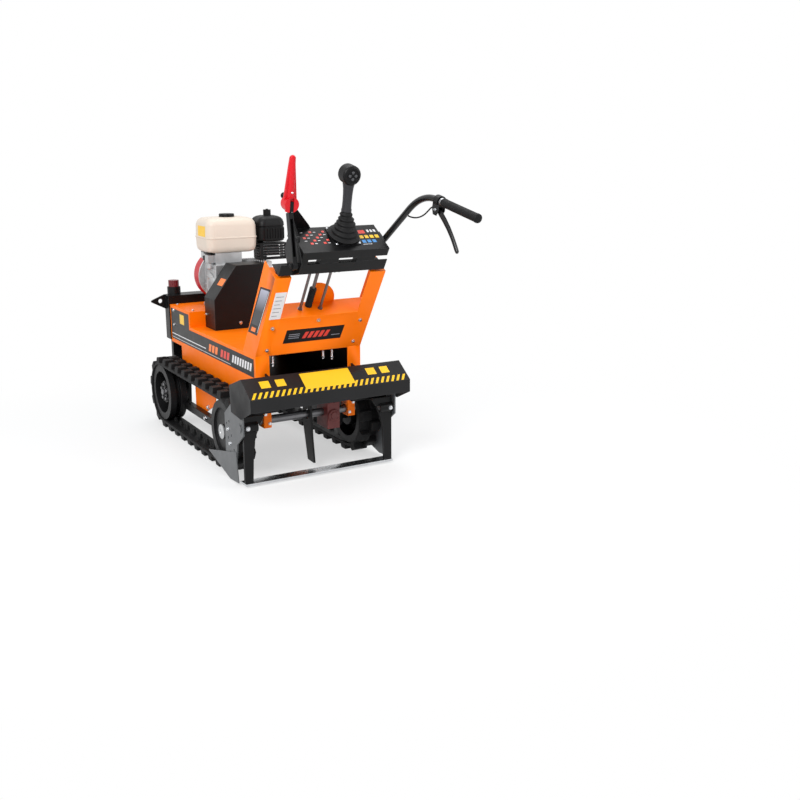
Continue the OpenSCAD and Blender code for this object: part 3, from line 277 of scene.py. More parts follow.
def add_bolt(bm, at, size, washer=True):
    """Hexagon bolt head on its washer, standing on the XY plane of its frame. Size is the thread."""
    half = HEX_HALF * size
    height = HEX_H * size
    base = 0.0
    if washer:
        base = WASHER_H * size
        add_lathe(bm, cylinder(size, 0, base), at, 24)
    sections = ((half, base), (half, base + HEX_EDGE_H * height), (HEX_TOP_R * half, base + height))
    add_loft(bm, [ring_at(at, r, z, 6) for r, z in sections])


def add_button_screw(bm, at, size):
    """Dome-headed socket screw standing on the XY plane of its frame. Size is the head's radius."""
    angles = [math.radians(a) for a in range(0, 76, 15)]
    dome = [(size * math.cos(a), DOME_H * size * math.sin(a)) for a in angles]
    socket = [(SOCKET_RIM * size, DOME_H * size), (SOCKET_R * size, SOCKET_Z * size), (0, SOCKET_Z * size)]
    add_lathe(bm, [(0, 0)] + dome + socket, at, 20)


# Pieces: angles are in degrees

SOFTEN_ABOVE = 28
SHARP_ABOVE = 48
FLAT_BELOW = 0.4
MERGE_WITHIN = 0.01


def soften(bm, width):
    """Rounds every edge that is sharper than the limit."""
    limit = math.radians(SOFTEN_ABOVE)
    bm.normal_update()
    edges = [e for e in bm.edges if len(e.link_faces) == 2 and e.calc_face_angle(0) > limit]
    bmesh.ops.bevel(
        bm, geom=edges, offset=width, offset_type="OFFSET", segments=2, profile=0.5,
        affect="EDGES", clamp_overlap=True)


def add_to_scene(name, data):
    """Object with its data, linked to the scene."""
    obj = bpy.data.objects.new(name, data)
    bpy.context.scene.collection.objects.link(obj)
    return obj


def piece(name, bm, finish_name, body, at=GROUND, bevel=0.0, stands_for=()):
    """Turns a mesh in the millimetres of a frame into a piece that rides on a body."""
    bmesh.ops.recalc_face_normals(bm, faces=bm.faces)
    if bevel:
        soften(bm, bevel)
    mesh = bpy.data.meshes.new(name)
    bm.to_mesh(mesh)
    bm.free()
    mesh.transform(at)
    if at.determinant() < 0:
        mesh.flip_normals()
    mesh.materials.append(MATERIALS[finish_name])
    mesh.shade_smooth()
    mesh.set_sharp_from_angle(angle=math.radians(SHARP_ABOVE))
    obj = add_to_scene(name, mesh)
    shading = obj.modifiers.new("Even shading", "WEIGHTED_NORMAL")
    shading.keep_sharp = True
    if body:
        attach(obj, body)
    if stands_for:
        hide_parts(*stands_for)
    return obj


def dress(node, finish_name, bevel):
    """A CAD node with rounded edges and its own finish."""
    bm = bmesh.new()
    bm.from_mesh(NODES[node].data)
    bm.transform(GROUND.inverted())
    bmesh.ops.remove_doubles(bm, verts=bm.verts, dist=MERGE_WITHIN)
    bmesh.ops.dissolve_limit(bm, angle_limit=math.radians(FLAT_BELOW), verts=bm.verts, edges=bm.edges)
    piece(node + "_skin", bm, finish_name, NODES[node]["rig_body"], GROUND, bevel, [node])


# Finishes: scales are in features per metre

NOISE_LOW = 0.3
NOISE_HIGH = 0.7
EDGE_NONE = 0.985
EDGE_FULL = 0.86
# Patches of lighter colour on sharp edges: partly wear, partly a painted highlight
WEAR_AND_HIGHLIGHT_SCALE = 70.0
WEAR_AND_HIGHLIGHT_SHARES = (0.15, 0.9)
SMUDGE_SCALE = 3
SMUDGE = 0.12


def srgb(red, green, blue):
    """Linear colour of a colour given in 0 to 255."""
    def linear(v):
        v /= 255
        return v / 12.92 if v <= 0.04045 else ((v + 0.055) / 1.055) ** 2.4
    return (linear(red), linear(green), linear(blue), 1.0)


def scaled(colour, factor):
    """Lighter or darker colour."""
    return tuple(min(1.0, c * factor) for c in colour[:3]) + (1.0,)


def set_inputs(node, values):
    """Sets sockets of a shader node to constants."""
    for socket, value in values.items():
        node.inputs[socket].default_value = value


def add_node(tree, kind, links=None, values=None, **settings):
    """Shader node with its settings, linked sockets and constant sockets."""
    node = tree.nodes.new("ShaderNode" + kind)
    for key, setting in settings.items():
        setattr(node, key, setting)
    for socket, source in (links or {}).items():
        tree.links.new(source, node.inputs[socket])
    set_inputs(node, values or {})
    return node


def noise(tree, scale, detail, stretch=None):
    """Noise over the piece's own coordinates."""
    vector = add_node(tree, "TexCoord").outputs["Object"]
    if stretch:
        vector = add_node(tree, "Mapping", {"Vector": vector}, {"Scale": stretch}).outputs["Vector"]
    grain = add_node(tree, "TexNoise", {"Vector": vector}, {"Scale": scale, "Detail": detail})
    return grain.outputs["Fac"]


def ramp(tree, value, stops):
    """Colour of a value between two stops of (position, colour)."""
    node = add_node(tree, "ValToRGB", {"Fac": value})
    for element, (position, colour) in zip(node.color_ramp.elements, stops):
        element.position = position
        element.color = colour
    return node.outputs["Color"]


def spread(tree, value, low, high):
    """Noise values mapped to a range."""
    limits = {"From Min": NOISE_LOW, "From Max": NOISE_HIGH, "To Min": low, "To Max": high}
    return add_node(tree, "MapRange", {"Value": value}, limits).outputs["Result"]


def edge_mask(tree, radius):
    """1 near sharp edges and 0 on flat faces."""
    rounded = add_node(tree, "Bevel", None, {"Radius": radius * MM}, samples=4)
    geometry = add_node(tree, "NewGeometry")
    normals = {0: rounded.outputs["Normal"], 1: geometry.outputs["Normal"]}
    dot = add_node(tree, "VectorMath", normals, operation="DOT_PRODUCT")
    limits = {"From Min": EDGE_NONE, "From Max": EDGE_FULL}
    return add_node(tree, "MapRange", {"Value": dot.outputs["Value"]}, limits).outputs["Result"]


def mix_colour(tree, factor, base, over):
    """Constant colour laid over another one by a factor."""
    node = add_node(tree, "Mix", {"Factor": factor, "A": base}, {"B": over}, data_type="RGBA")
    return node.outputs["Result"]


def times(tree, a, b):
    """Product of two values."""
    return add_node(tree, "Math", {0: a, 1: b}, operation="MULTIPLY").outputs["Value"]


def finish(name, rgb, roughness, metallic=0.0, vary=0.08, vary_scale=9.0, grain=0.2, grain_scale=900.0,
           grain_depth=0.05, stretch=None, wear_and_highlight=None, wear_and_highlight_radius=1.6, specular=0.5):
    """Material with broad colour variation, a fine surface grain and, where given, lighter edges that are
    partly worn paint and partly a painted highlight.
    """
    material = bpy.data.materials.new(name)
    material.use_nodes = True
    tree = material.node_tree
    shader = tree.nodes["Principled BSDF"]
    set_inputs(shader, {"Metallic": metallic, "Specular IOR Level": specular})
    colour = srgb(*rgb)
    stops = ((NOISE_LOW, scaled(colour, 1 - vary)), (NOISE_HIGH, scaled(colour, 1 + vary)))
    base = ramp(tree, noise(tree, vary_scale, 5.0), stops)
    # Lighter colour on sharp edges, in patches: partly rubbed paint, partly a painted highlight along the
    # edges
    if wear_and_highlight:
        patches = spread(tree, noise(tree, WEAR_AND_HIGHLIGHT_SCALE, 4.0), *WEAR_AND_HIGHLIGHT_SHARES)
        base = mix_colour(tree, times(tree, edge_mask(tree, wear_and_highlight_radius), patches), base, srgb(*wear_and_highlight))
    tree.links.new(base, shader.inputs["Base Color"])
    smudge = noise(tree, SMUDGE_SCALE * vary_scale, 4.0, stretch)
    rough = spread(tree, smudge, (1 - SMUDGE) * roughness, (1 + SMUDGE) * roughness)
    tree.links.new(rough, shader.inputs["Roughness"])
    height = noise(tree, grain_scale, 2.0, stretch)
    bump = add_node(tree, "Bump", {"Height": height}, {"Strength": grain, "Distance": grain_depth * MM})
    tree.links.new(bump.outputs["Normal"], shader.inputs["Normal"])
    return material


def faded(name, low_z, high_z, low, high):
    """Foil whose colour fades from one height to another."""
    material = finish(name, high, 0.34, grain=0.1)
    tree = material.node_tree
    where = add_node(tree, "TexCoord").outputs["Object"]
    place = add_node(tree, "SeparateXYZ", {"Vector": where}).outputs["Z"]
    limits = {"From Min": low_z * MM, "From Max": high_z * MM}
    reach = add_node(tree, "MapRange", {"Value": place}, limits).outputs["Result"]
    colour = ramp(tree, reach, ((0.0, srgb(*low)), (1.0, srgb(*high))))
    tree.links.new(colour, tree.nodes["Principled BSDF"].inputs["Base Color"])
    return material


# Colour in 0 to 255, roughness, and what differs from the usual finish

BRUSHED = (1.0, 1.0, 0.06)
FINISHES = {
    # The lighter edge colours below are partly wear and partly a painted highlight on the edges
    "orange_paint": ((255, 118, 0), 0.42, dict(
        vary=0.05, grain=0.35, grain_scale=650, wear_and_highlight=(255, 160, 50), specular=0.16)),
    "black_paint": ((13, 13, 14), 0.38, dict(
        vary=0.15, grain=0.4, grain_scale=800, wear_and_highlight=(70, 70, 72), specular=0.2)),
    "cover_paint": ((27, 27, 28), 0.46, dict(
        vary=0.1, grain=0.6, grain_scale=520, grain_depth=0.12, wear_and_highlight=(92, 92, 94), specular=0.2)),
    "bar_paint": ((14, 14, 15), 0.24, dict(vary=0.1, grain=0.15, grain_scale=700, specular=0.4)),
    "grey_paint": ((84, 86, 88), 0.42, dict(vary=0.1, grain=0.4, wear_and_highlight=(150, 150, 150))),
    "wheel_paint": ((18, 18, 19), 0.46, dict(
        vary=0.18, grain=0.5, grain_scale=420, wear_and_highlight=(80, 80, 82), specular=0.22)),
    "red_paint": ((186, 8, 32), 0.34, dict(vary=0.06, grain=0.25, wear_and_highlight=(226, 84, 98), specular=0.3)),
    "dark_red": ((98, 30, 27), 0.5, dict(vary=0.18, vary_scale=20, grain=0.5)),
    "steel": ((205, 207, 210), 0.24, dict(metallic=1.0, vary_scale=40, grain=0.12, stretch=BRUSHED)),
    # Darker copy of the steel: its own tone on rods and bolts, and partly painted shade on the eccentric
    # shaft
    "rod_steel": ((112, 112, 114), 0.36, dict(metallic=0.9, vary=0.12, vary_scale=30, stretch=BRUSHED)),
    "alloy": ((186, 187, 188), 0.44, dict(
        metallic=0.85, vary=0.12, vary_scale=25, grain=0.6, grain_scale=420, grain_depth=0.15)),
    "cap_plastic": ((104, 22, 30), 0.4, dict(vary=0.1, grain=0.4)),
    "cream_plastic": ((216, 203, 189), 0.4, dict(vary=0.02, grain=0.15, grain_scale=500, specular=0.3)),
    "black_plastic": ((11, 11, 12), 0.44, dict(
        vary=0.1, grain=0.6, grain_scale=1100, grain_depth=0.08, specular=0.2)),
    "stick_plastic": ((42, 42, 45), 0.46, dict(grain=0.6, specular=0.3)),
    "red_plastic": ((200, 12, 26), 0.34, dict(vary=0.05, specular=0.3)),
    "grey_plastic": ((62, 63, 65), 0.42, dict(grain=0.5, grain_scale=1000)),
    "rubber": ((17, 17, 18), 0.62, dict(
        vary=0.16, vary_scale=22, grain=0.7, grain_scale=600, grain_depth=0.12, wear_and_highlight=(52, 51, 50),
        wear_and_highlight_radius=2.5, specular=0.2)),
    "foil_black": ((11, 11, 12), 0.34, dict(vary=0.1, grain=0.1, specular=0.2)),
    "foil_yellow": ((240, 190, 20), 0.36, dict(vary=0.03, grain=0.1)),
    "foil_white": ((222, 220, 222), 0.4, dict(vary=0.03, grain=0.1)),
    "foil_red": ((222, 52, 34), 0.36, dict(vary=0.05, grain=0.1)),
    "foil_orange": ((250, 120, 20), 0.36, dict(vary=0.05, grain=0.1)),
    "foil_blue": ((56, 132, 196), 0.36, dict(vary=0.05, grain=0.1)),
    "foil_silver": ((150, 152, 162), 0.34, dict(metallic=0.5, vary=0.2, vary_scale=14, grain=0.1)),
}
MATERIALS = {name: finish(name, rgb, rough, **rest) for name, (rgb, rough, rest) in FINISHES.items()}
MATERIALS["foil_fade"] = faded("foil_fade", 615, 705, (26, 27, 34), (172, 174, 192))

# CAD nodes that keep their shape: their edge radius, by finish

DRESSED = {
    "orange_paint": {"body_panel_left": 0.7, "body_panel_right": 0.7, "deck": 0.7, "rear_tower": 0.8,
                     "bearing_caps": 2.0},
    "black_paint": {"chassis_frame": 1.2, "bumper_tank": 1.6, "muffler_guard": 0.6, "belt_guard": 1.2,
                    "track_frames": 1.5, "drive_motors": 1.5, "knife_arms": 1.2, "centre_slicer": 0.8,
                    "hinge_tube": 0.8, "console_frame": 0.8, "console_tray": 0.8, "clutch_arm": 1.0,
                    "throttle_lever": 1.0, "lever_clamp": 1.0},
    "cover_paint": {"push_cover": 0.8},
    "grey_paint": {"muffler": 1.0, "hydraulic_pump": 1.5, "adjuster_plates": 0.8, "side_knives": 0.7},
    "wheel_paint": {"drive_wheel_left": 1.5, "drive_wheel_right": 1.5, "idler_left": 1.5, "idler_right": 1.5},
    "red_paint": {"fan_cover": 1.5},
    "dark_red": {"eccentric_housing": 2.5},
    "steel": {"crankshaft": 0.6, "pump_pulley": 0.6, "knife_blade": 0.4, "joystick_gimbal": 0.5},
    # The eccentric shaft's darker steel is partly painted shade
    "rod_steel": {"eccentric_shaft": 0.8},
    "alloy": {"engine_crankcase": 2.0, "engine_cylinder": 0.8},
    "cap_plastic": {"filler_cap": 1.2},
    "black_plastic": {"recoil_grip": 1.0, "air_cleaner_knob": 1.2, "clutch_latch": 1.5},
    "red_plastic": {"clutch_handle": 1.2},
    "rubber": {"drive_belt": 0.8, "rubber_mounts": 1.5},
}
for finish_name, nodes in DRESSED.items():
    for node, edge_radius in nodes.items():
        dress(node, finish_name, edge_radius)

# Rubber tracks: a belt with staggered, tapered lugs outside and guide lugs inside

TRACK_IN, TRACK_OUT = [corner.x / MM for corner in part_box("track_belt_right")]
AXLE_Z = 150
IDLER_Y = 333
DRIVE_Y = 1035
SPAN = DRIVE_Y - IDLER_Y
BELT_OUT = 128
BELT_IN = 117
BELT_EDGE = 2
BELT_STEPS = 160
LUG_COUNT = 28
LUG_W = 44
LUG_L = 40
LUG_H = 22
LUG_H_ON_WHEEL = 20.5
LUG_DRAFT = 3
LUG_ROOT = 2.0
LUG_ROUND = 2.2
GUIDE_HALF = 7
GUIDE_L = 24
GUIDE_H = 17.5


def loop_point(s, radius):
    """Frame on the track's loop at a distance along it: Z points outwards, Y along the loop."""
    arc = math.pi * radius
    s %= 2 * (SPAN + arc)
    if s < SPAN:
        return shift(0, IDLER_Y + s, AXLE_Z - radius) @ turn(180, "X")
    if s < SPAN + arc:
        angle = math.degrees((s - SPAN) / radius)
        return shift(0, DRIVE_Y, AXLE_Z) @ turn(180 + angle, "X") @ shift(0, 0, radius)
    if s < 2 * SPAN + arc:
        return shift(0, DRIVE_Y + SPAN + arc - s, AXLE_Z + radius)
    angle = math.degrees((s - 2 * SPAN - arc) / radius)
    return shift(0, IDLER_Y, AXLE_Z) @ turn(angle, "X") @ shift(0, 0, radius)


def add_lug(bm, at, x0, x1, length, height):
    """Tapered block on the XY plane of its frame."""
    half = length / 2
    rings = []
    for z, inset in ((-LUG_ROOT, 0.0), (height, LUG_DRAFT)):
        rings.append(level(patch(x0 + inset, x1 - inset, -half + inset, half - inset), z, at))
    add_loft(bm, rings)


def track(side, word):
    """Rubber track of one side, which stands for its CAD belt."""
    loop = 2 * SPAN + 2 * math.pi * BELT_OUT
    inner_loop = 2 * SPAN + 2 * math.pi * BELT_IN
    middle = (TRACK_IN + TRACK_OUT) / 2
    lug_rows = ((0.25, TRACK_IN, TRACK_IN + LUG_W), (0.75, TRACK_OUT - LUG_W, TRACK_OUT))
    mirror = Matrix.Scale(side, 4, RIGHT)
    bm = bmesh.new()
    for i in range(LUG_COUNT):
        for share, x0, x1 in lug_rows:
            at = loop_point((i + share) * (loop / LUG_COUNT), BELT_OUT)
            on_wheel = abs(at.to_euler().x % math.pi) > 0.01
            add_lug(bm, mirror @ at, x0, x1, LUG_L, LUG_H_ON_WHEEL if on_wheel else LUG_H)
        guide = loop_point((i + 0.5) * inner_loop / LUG_COUNT, BELT_IN) @ turn(180, "Y")
        add_lug(bm, mirror @ guide, -middle - GUIDE_HALF, GUIDE_HALF - middle, GUIDE_L, GUIDE_H)
    bmesh.ops.recalc_face_normals(bm, faces=bm.faces)
    soften(bm, LUG_ROUND)
    section = ((TRACK_IN, BELT_IN + BELT_EDGE), (TRACK_IN + BELT_EDGE, BELT_IN),
               (TRACK_OUT - BELT_EDGE, BELT_IN), (TRACK_OUT, BELT_IN + BELT_EDGE),
               (TRACK_OUT, BELT_OUT - BELT_EDGE), (TRACK_OUT - BELT_EDGE, BELT_OUT),
               (TRACK_IN + BELT_EDGE, BELT_OUT), (TRACK_IN, BELT_OUT - BELT_EDGE))
    rings = []
    for k in range(BELT_STEPS):
        at = mirror @ loop_point(k * loop / BELT_STEPS, BELT_OUT)
        rings.append([at @ Vector((x, 0, r - BELT_OUT)) for x, r in section])
    add_loop(bm, rings)
    piece("track_rubber_" + word, bm, "rubber", "machine", stands_for=["track_belt_" + word])


for side, word in SIDES:
    track(side, word)

# Foils and plain colour plates

FOIL = 0.3
FOIL_GAP = 0.1


def foils(name, outlines, finish_name, at, body="machine", layer=0):
    """Foils on the XY plane of a frame. Each layer lies on the one below it."""
    bm = bmesh.new()
    for outline in outlines:
        add_prism(bm, outline, FOIL * (layer + FOIL_GAP), FOIL * (layer + 1))
    piece(name, bm, finish_name, body, at)


def patch_row(start, count, pitch, width, y0, y1, lean=0.0):
    """Outlines of patches in a row that begins at the start."""
    return [patch(start + k * pitch, start + k * pitch + width, y0, y1, lean) for k in range(count)]


def part_of(quad, s0, s1, t0, t1):
    """Part of an outline with four corners, in shares across and up."""
    a, b, c, d = [Vector(p) for p in quad]

    def corner(s, t):
        return tuple(a.lerp(b, s).lerp(d.lerp(c, s), t))
    return [corner(s0, t0), corner(s1, t0), corner(s1, t1), corner(s0, t1)]


REAR_LINES = [patch(-100, -58, y, y + 3) for y in (72, 81, 90)] + [patch(70, 104, 70, 73)]
POST_LINES = [patch(-188, -168 + 4 * (k % 3), 186 + 17 * k, 189 + 17 * k) for k in range(6)]
foils("rear_plate", [[(-116, 51), (112, 51), (114, 114), (-113, 114)]], "foil_black", REAR)
foils("rear_plate_blocks", patch_row(-46, 5, 21, 14, 68, 98, lean=9), "foil_red", REAR, layer=1)
foils("rear_plate_lines", REAR_LINES, "foil_silver", REAR, layer=1)
foils("post_plate", [patch(-194, -152, 172, 292)], "foil_white", REAR)
foils("post_plate_lines", POST_LINES, "foil_silver", REAR, layer=1)

STRIP = [(166, 526), (247, 528), (120, 703), (36, 702)]
BAND = [(205, 367), (1101, 367), (1101, 497), (880, 497), (880, 434), (205, 434)]
BLOCK_LOW = 386
BLOCK_HIGH = 416
BLOCK_LEAN = -10


def band_blocks(start, count, pitch, width):
    """Leaning blocks along the lower band."""
    return patch_row(start, count, pitch, width, BLOCK_LOW, BLOCK_HIGH, BLOCK_LEAN)


SIDE_FOILS = (
    ("strip_edge_", [STRIP], "foil_black", 0),
    ("strip_fade_", [part_of(STRIP, 0.12, 0.88, 0.2, 0.96)], "foil_fade", 1),
    ("strip_mark_", [part_of(STRIP, 0.3, 0.75, 0.05, 0.14)], "foil_orange", 1),
    ("strip_line_", [part_of(STRIP, 0.04, 0.075, 0.06, 0.95)], "foil_white", 1),
    ("band_", [BAND], "foil_black", 0),
    ("band_lines_", [patch(690, 1095, 388, 392), patch(430, 1095, 374, 376)], "foil_white", 1),
    ("band_orange_", band_blocks(566, 3, 34, 24), "foil_orange", 1),
    ("band_red_", band_blocks(446, 3, 32, 22), "foil_red", 1),
    ("band_white_", band_blocks(232, 8, 24, 15), "foil_white", 1),
    ("band_plate_", [patch(938, 990, 444, 484)], "foil_yellow", 1),
)
for side, word in SIDES:
    for name, outlines, finish_name, layer in SIDE_FOILS:
        foils(name + word, outlines, finish_name, side_frame(side, BODY_HALF), layer=layer)

COVER_PLATES = [patch(x0, x1, 46, 78) for x0, x1 in ((-254, -218), (-195, -160), (159, 195), (216, 249))]
foils("cover_stripes", patch_row(-306, 28, 21.6, 10, 2, 29, lean=18), "foil_yellow", COVER, "cover")
foils("cover_plate", [patch(-97, 95, 17, 91)], "foil_yellow", COVER, "cover", layer=1)
foils("cover_small_plates", COVER_PLATES, "foil_yellow", COVER, "cover")

# Black sheets on the inner faces of the side panels: painted shade inside the body
SHADE_SHEET = patch(BODY_REAR + 8, 850, 262, DECK_Z - SHEET - 1)
for side, word in SIDES:
    foils("inner_shade_sheet_" + word, [SHADE_SHEET], "foil_black", side_frame(-side, SHEET - BODY_HALF))

GRID = [(-102 + 16 * i, 40 + 15 * j, (i + 2 * j) % 3) for i in range(6) for j in range(5)]
GRID_RED = [patch(x, x + 10, y, y + 9) for x, y, kind in GRID if kind == 1]
GRID_WHITE = [patch(x, x + 9, y + 2, y + 5) for x, y, kind in GRID if kind == 2]
RIGHT_WHITE = patch_row(148, 3, 13, 8, 90, 103) + [patch(104, 138, 25, 27)]
foils("console_left_red", GRID_RED, "foil_red", CONSOLE)
foils("console_left_white", GRID_WHITE, "foil_white", CONSOLE)
foils("console_right_red", [patch(112, 138, 84, 102)], "foil_red", CONSOLE)
foils("console_right_white", RIGHT_WHITE, "foil_white", CONSOLE)
foils("console_right_yellow", patch_row(107, 4, 20, 14, 58, 74), "foil_yellow", CONSOLE)
foils("console_right_blue", patch_row(107, 3, 20, 14, 34, 49), "foil_blue", CONSOLE)

GUARD_FOOT = (-148, 740, 570)
GUARD_RISE = 132
GUARD_RUN = 98
GUARD_SLANT = math.degrees(math.atan2(GUARD_RISE, GUARD_RUN))
SLANT = GROUND @ shift(*GUARD_FOOT) @ turn(-90, "Z") @ turn(GUARD_SLANT, "X")
foils("guard_plate", [patch(-64, -10, 64, 96)], "foil_orange", SLANT)

# Bolts, screws and nuts: each spot is a point and the direction that the head looks in

LEVER_AT = (221, -28)
CHEEK_OUT = 13.5


def fasteners(name, spots, size, body="machine", at=GROUND, shape=add_bolt, finish_name="steel"):
    """Bolts or screws of one size at spots of a frame."""
    bm = bmesh.new()
    for point, direction in spots:
        shape(bm, facing(point, direction), size)
    piece(name, bm, finish_name, body, at)


def mirrored(spots):
    """Spots on the right side and their likes on the left side."""
    return [((s * x, y, z), (s * a, b, c)) for s in (-1, 1) for (x, y, z), (a, b, c) in spots]


def handle_flare():
    """Flared sides of the clutch handle."""
    half = [(24, 22), (22, 46), (17, 96), (11.5, 150), (8.5, 176)]
    outline = half + [(-x, z) for x, z in reversed(half)]
    bm = bmesh.new()
    add_loft(bm, [[Vector((x, y, z)) for x, z in outline] for y in (-4, 9)])
    piece("handle_flare", bm, "red_plastic", "clutch", HANDLE, bevel=3.0)


REAR_SPOTS = [((x, 0, z), BACK) for x, z in ((-172, 27), (172, 27), (-172, 131), (172, 131), (0, 150))]
BODY_SPOTS = [((BODY_HALF, 1058, z), RIGHT) for z in (491, 430)]
PLATFORM_SPOTS = [((x, y, PLATFORM_Z), UP) for x in (-185, 185) for y in (895, 1085)]
GUARD_SPOTS = [((-40, 740, 470), BACK), ((40, 740, 470), BACK), ((-148, 835, 500), LEFT)]
ADJUSTER_SPOTS = [((306, 229, 187), RIGHT), ((306, 213, 138), RIGHT)]
TENSIONER_SPOTS = [((BODY_HALF, 690, 150), RIGHT), ((236, 658, 116), RIGHT)]
CAP_SPOTS = [((162, 190, 196), BACK), ((178, 190, 232), BACK)]
CLUTCH_SPOT = (CLUTCH_AT[0] - 9, *CLUTCH_AT[1:])
CONSOLE_SPOTS = [((x, y, PANEL_Z + 4), UP) for x, y in ((90, 31), (4, 31), (4, 117), (90, 117))]
PIN_SPOTS = [((-CHEEK_OUT, *LEVER_AT), LEFT), ((CHEEK_OUT, *LEVER_AT), RIGHT)]
TANK_SPOTS = [((x, 1190, z), AHEAD) for x in (-170, 0, 170) for z in (380, 522)]
HEAD_SPOTS = [((171, y, z), RIGHT) for y in (905, 968) for z in (622, 678)]

fasteners("rear_panel_bolts", REAR_SPOTS, 7, at=TOWER)
fasteners("body_bolts", mirrored(BODY_SPOTS), 7)
fasteners("platform_bolts", PLATFORM_SPOTS, 6)
fasteners("guard_bolts", GUARD_SPOTS, 7)
fasteners("adjuster_bolts", mirrored(ADJUSTER_SPOTS), 8)
fasteners("tensioner_bolts", mirrored(TENSIONER_SPOTS), 10)
fasteners("bearing_cap_bolts", mirrored(CAP_SPOTS), 6)
fasteners("arm_bolts", mirrored([((285, 95, 217), BACK)]), 8, "knife")
fasteners("clutch_pivot_bolt", [(CLUTCH_SPOT, LEFT)], 9, at=TOWER, finish_name="black_paint")
fasteners("lever_plate_bolt", [((-150.5, 49, 474), LEFT)], 7, at=TOWER)
fasteners("console_screws", CONSOLE_SPOTS, 4.5, at=TOWER, shape=add_button_screw)
handle_flare()
fasteners("handle_screw", [((0, -13, 64), BACK)], 4, "clutch", HANDLE, add_button_screw)
fasteners("clamp_pin", PIN_SPOTS, 5, at=BAR)
fasteners("tank_bolts", TANK_SPOTS, 8)
fasteners("head_bolts", HEAD_SPOTS, 7)

HUB_X = 276
HUB_BOLTS = 5
HUB_BOLT_R = 33
IDLER_CAP_X = 290


def wheel_fittings(side, word):
    """Bolts and nut of a drive hub, and the cap of the idler on the same side."""
    out = (side, 0, 0)
    spots = []
    for k in range(HUB_BOLTS):
        a = math.radians(90 + 360 / HUB_BOLTS * k)
        y = DRIVE_Y + HUB_BOLT_R * math.cos(a)
        z = AXLE_Z + HUB_BOLT_R * math.sin(a)
        spots.append(((side * HUB_X, y, z), out))
    hub = [((side * HUB_X, DRIVE_Y, AXLE_Z), out)]
    fasteners("hub_bolts_" + word, spots, 9.6, "wheel_" + word, finish_name="rod_steel")
    fasteners("hub_nut_" + word, hub, 17, "wheel_" + word, finish_name="rod_steel")
    bm = bmesh.new()
    cap = [(0, -1), (27.2, -1), (27.2, 4.5), (24, 6), (10, 6.4), (9, 4.4), (0, 4.4)]
    add_lathe(bm, cap, facing((side * IDLER_CAP_X, IDLER_Y, AXLE_Z), out))
    piece("idler_cap_" + word, bm, "alloy", "idler_wheel_" + word)


for side, word in SIDES:
    wheel_fittings(side, word)

THREAD_PITCH = 2.2
THREAD_DEPTH = 0.7
STUD_R = 5
NUT_AT = 0.72
NUT_SIZE = 1.5
STUD_Y = 200
STUD_PLACES = ((-140, 40), (60, 34), (96, 40))
FLANGE_AT = (85, 170, 198)


def add_stud(bm, at, length):
    """Threaded stud along Z with a nut near its end."""
    root = STUD_R - THREAD_DEPTH
    profile = [(0, 0)]
    for k in range(int(length / THREAD_PITCH)):
        profile += [(root, k * THREAD_PITCH), (STUD_R, (k + 0.5) * THREAD_PITCH)]
    add_lathe(bm, profile + [(root, length), (0, length)], at, 20)
    add_bolt(bm, at @ shift(0, 0, NUT_AT * length), NUT_SIZE * STUD_R)


def opening_studs():
    """Studs that hang from the deck, given as place across and length."""
    bm = bmesh.new()
    for x, length in STUD_PLACES:
        add_stud(bm, facing((x, STUD_Y, DECK_Z - SHEET), DOWN), length)
    piece("opening_studs", bm, "steel", "machine")


def housing_flange():
    """Round flange with four bolts on the rear of the eccentric housing."""
    rear_face = facing(FLANGE_AT, BACK)
    bm = bmesh.new()
    add_lathe(bm, [(0, -1), (23, -1), (23, 4), (21, 5.5), (15, 6), (13, 9), (0, 9)], rear_face, 40)
    for k in range(4):
        add_bolt(bm, rear_face @ turn(45 + 90 * k, "Z") @ shift(18.5, 0, 5), 3.5, False)
    piece("housing_flange", bm, "dark_red", "machine")


opening_studs()
housing_flange()

# Engine: tank, cap, air cleaner, castings and guard

TANK_AT = (0, 967.5, 737)
TANK_SIZE = (224, 175)
TANK_CORNER = (32, 0.25, 16)
TANK_LEVELS = ((0, 20), (4, 12), (12, 6), (25, 3.4), (57, 2.4), (58.5, 0), (62.5, 0), (64, 2.4), (110, 3.6),
               (121, 6.5), (129, 11), (135, 17), (138.5, 25), (140.4, 36), (141, 50))
TANK_WALL_X = 109.6
TANK_WALL_LEAN = -1.5
NECK_X = 6
CAP_UP = 141.3
CAP_STEPS = 108
FLUTES = 18
FLUTE_DEPTH = 0.8
FLUTES_FROM_R = 30.2
AIR_AT = (176, 940)
AIR_SIZE = (120, 120)
AIR_CORNER = (28, 0.5, 9)
AIR_LEVELS = ((775, 8), (778, 3), (784, 1), (832, 0), (834, 3), (837, 3), (839, 0), (852, 1), (864, 5),
              (872, 12), (877, 22), (880, 34))
CASE_LEFT = -85
LOUVRES = 5
LOUVRE_Z = 717
LOUVRE_PITCH = 11
LOUVRE_H = 1.2


def fuel_tank():
    """Pale tank with a seam, a filler neck and a plain plate on its left wall."""
    bm = bmesh.new()
    add_shell(bm, TANK_SIZE, TANK_CORNER, TANK_LEVELS)
    neck = [(0, 134), (29, 134), (29, 139), (26, 141), (25.6, 145), (0, 145)]
    add_lathe(bm, neck, shift(NECK_X, 0, 0))
    piece("tank_shell", bm, "cream_plastic", "machine", GROUND @ shift(*TANK_AT), stands_for=["fuel_tank"])
    wall = side_frame(-1, TANK_WALL_X) @ shift(0, TANK_AT[2] + 66, 0) @ turn(TANK_WALL_LEAN, "X")
    foils("tank_plate", [patch(916, 1000, 0, 42)], "foil_yellow", wall)


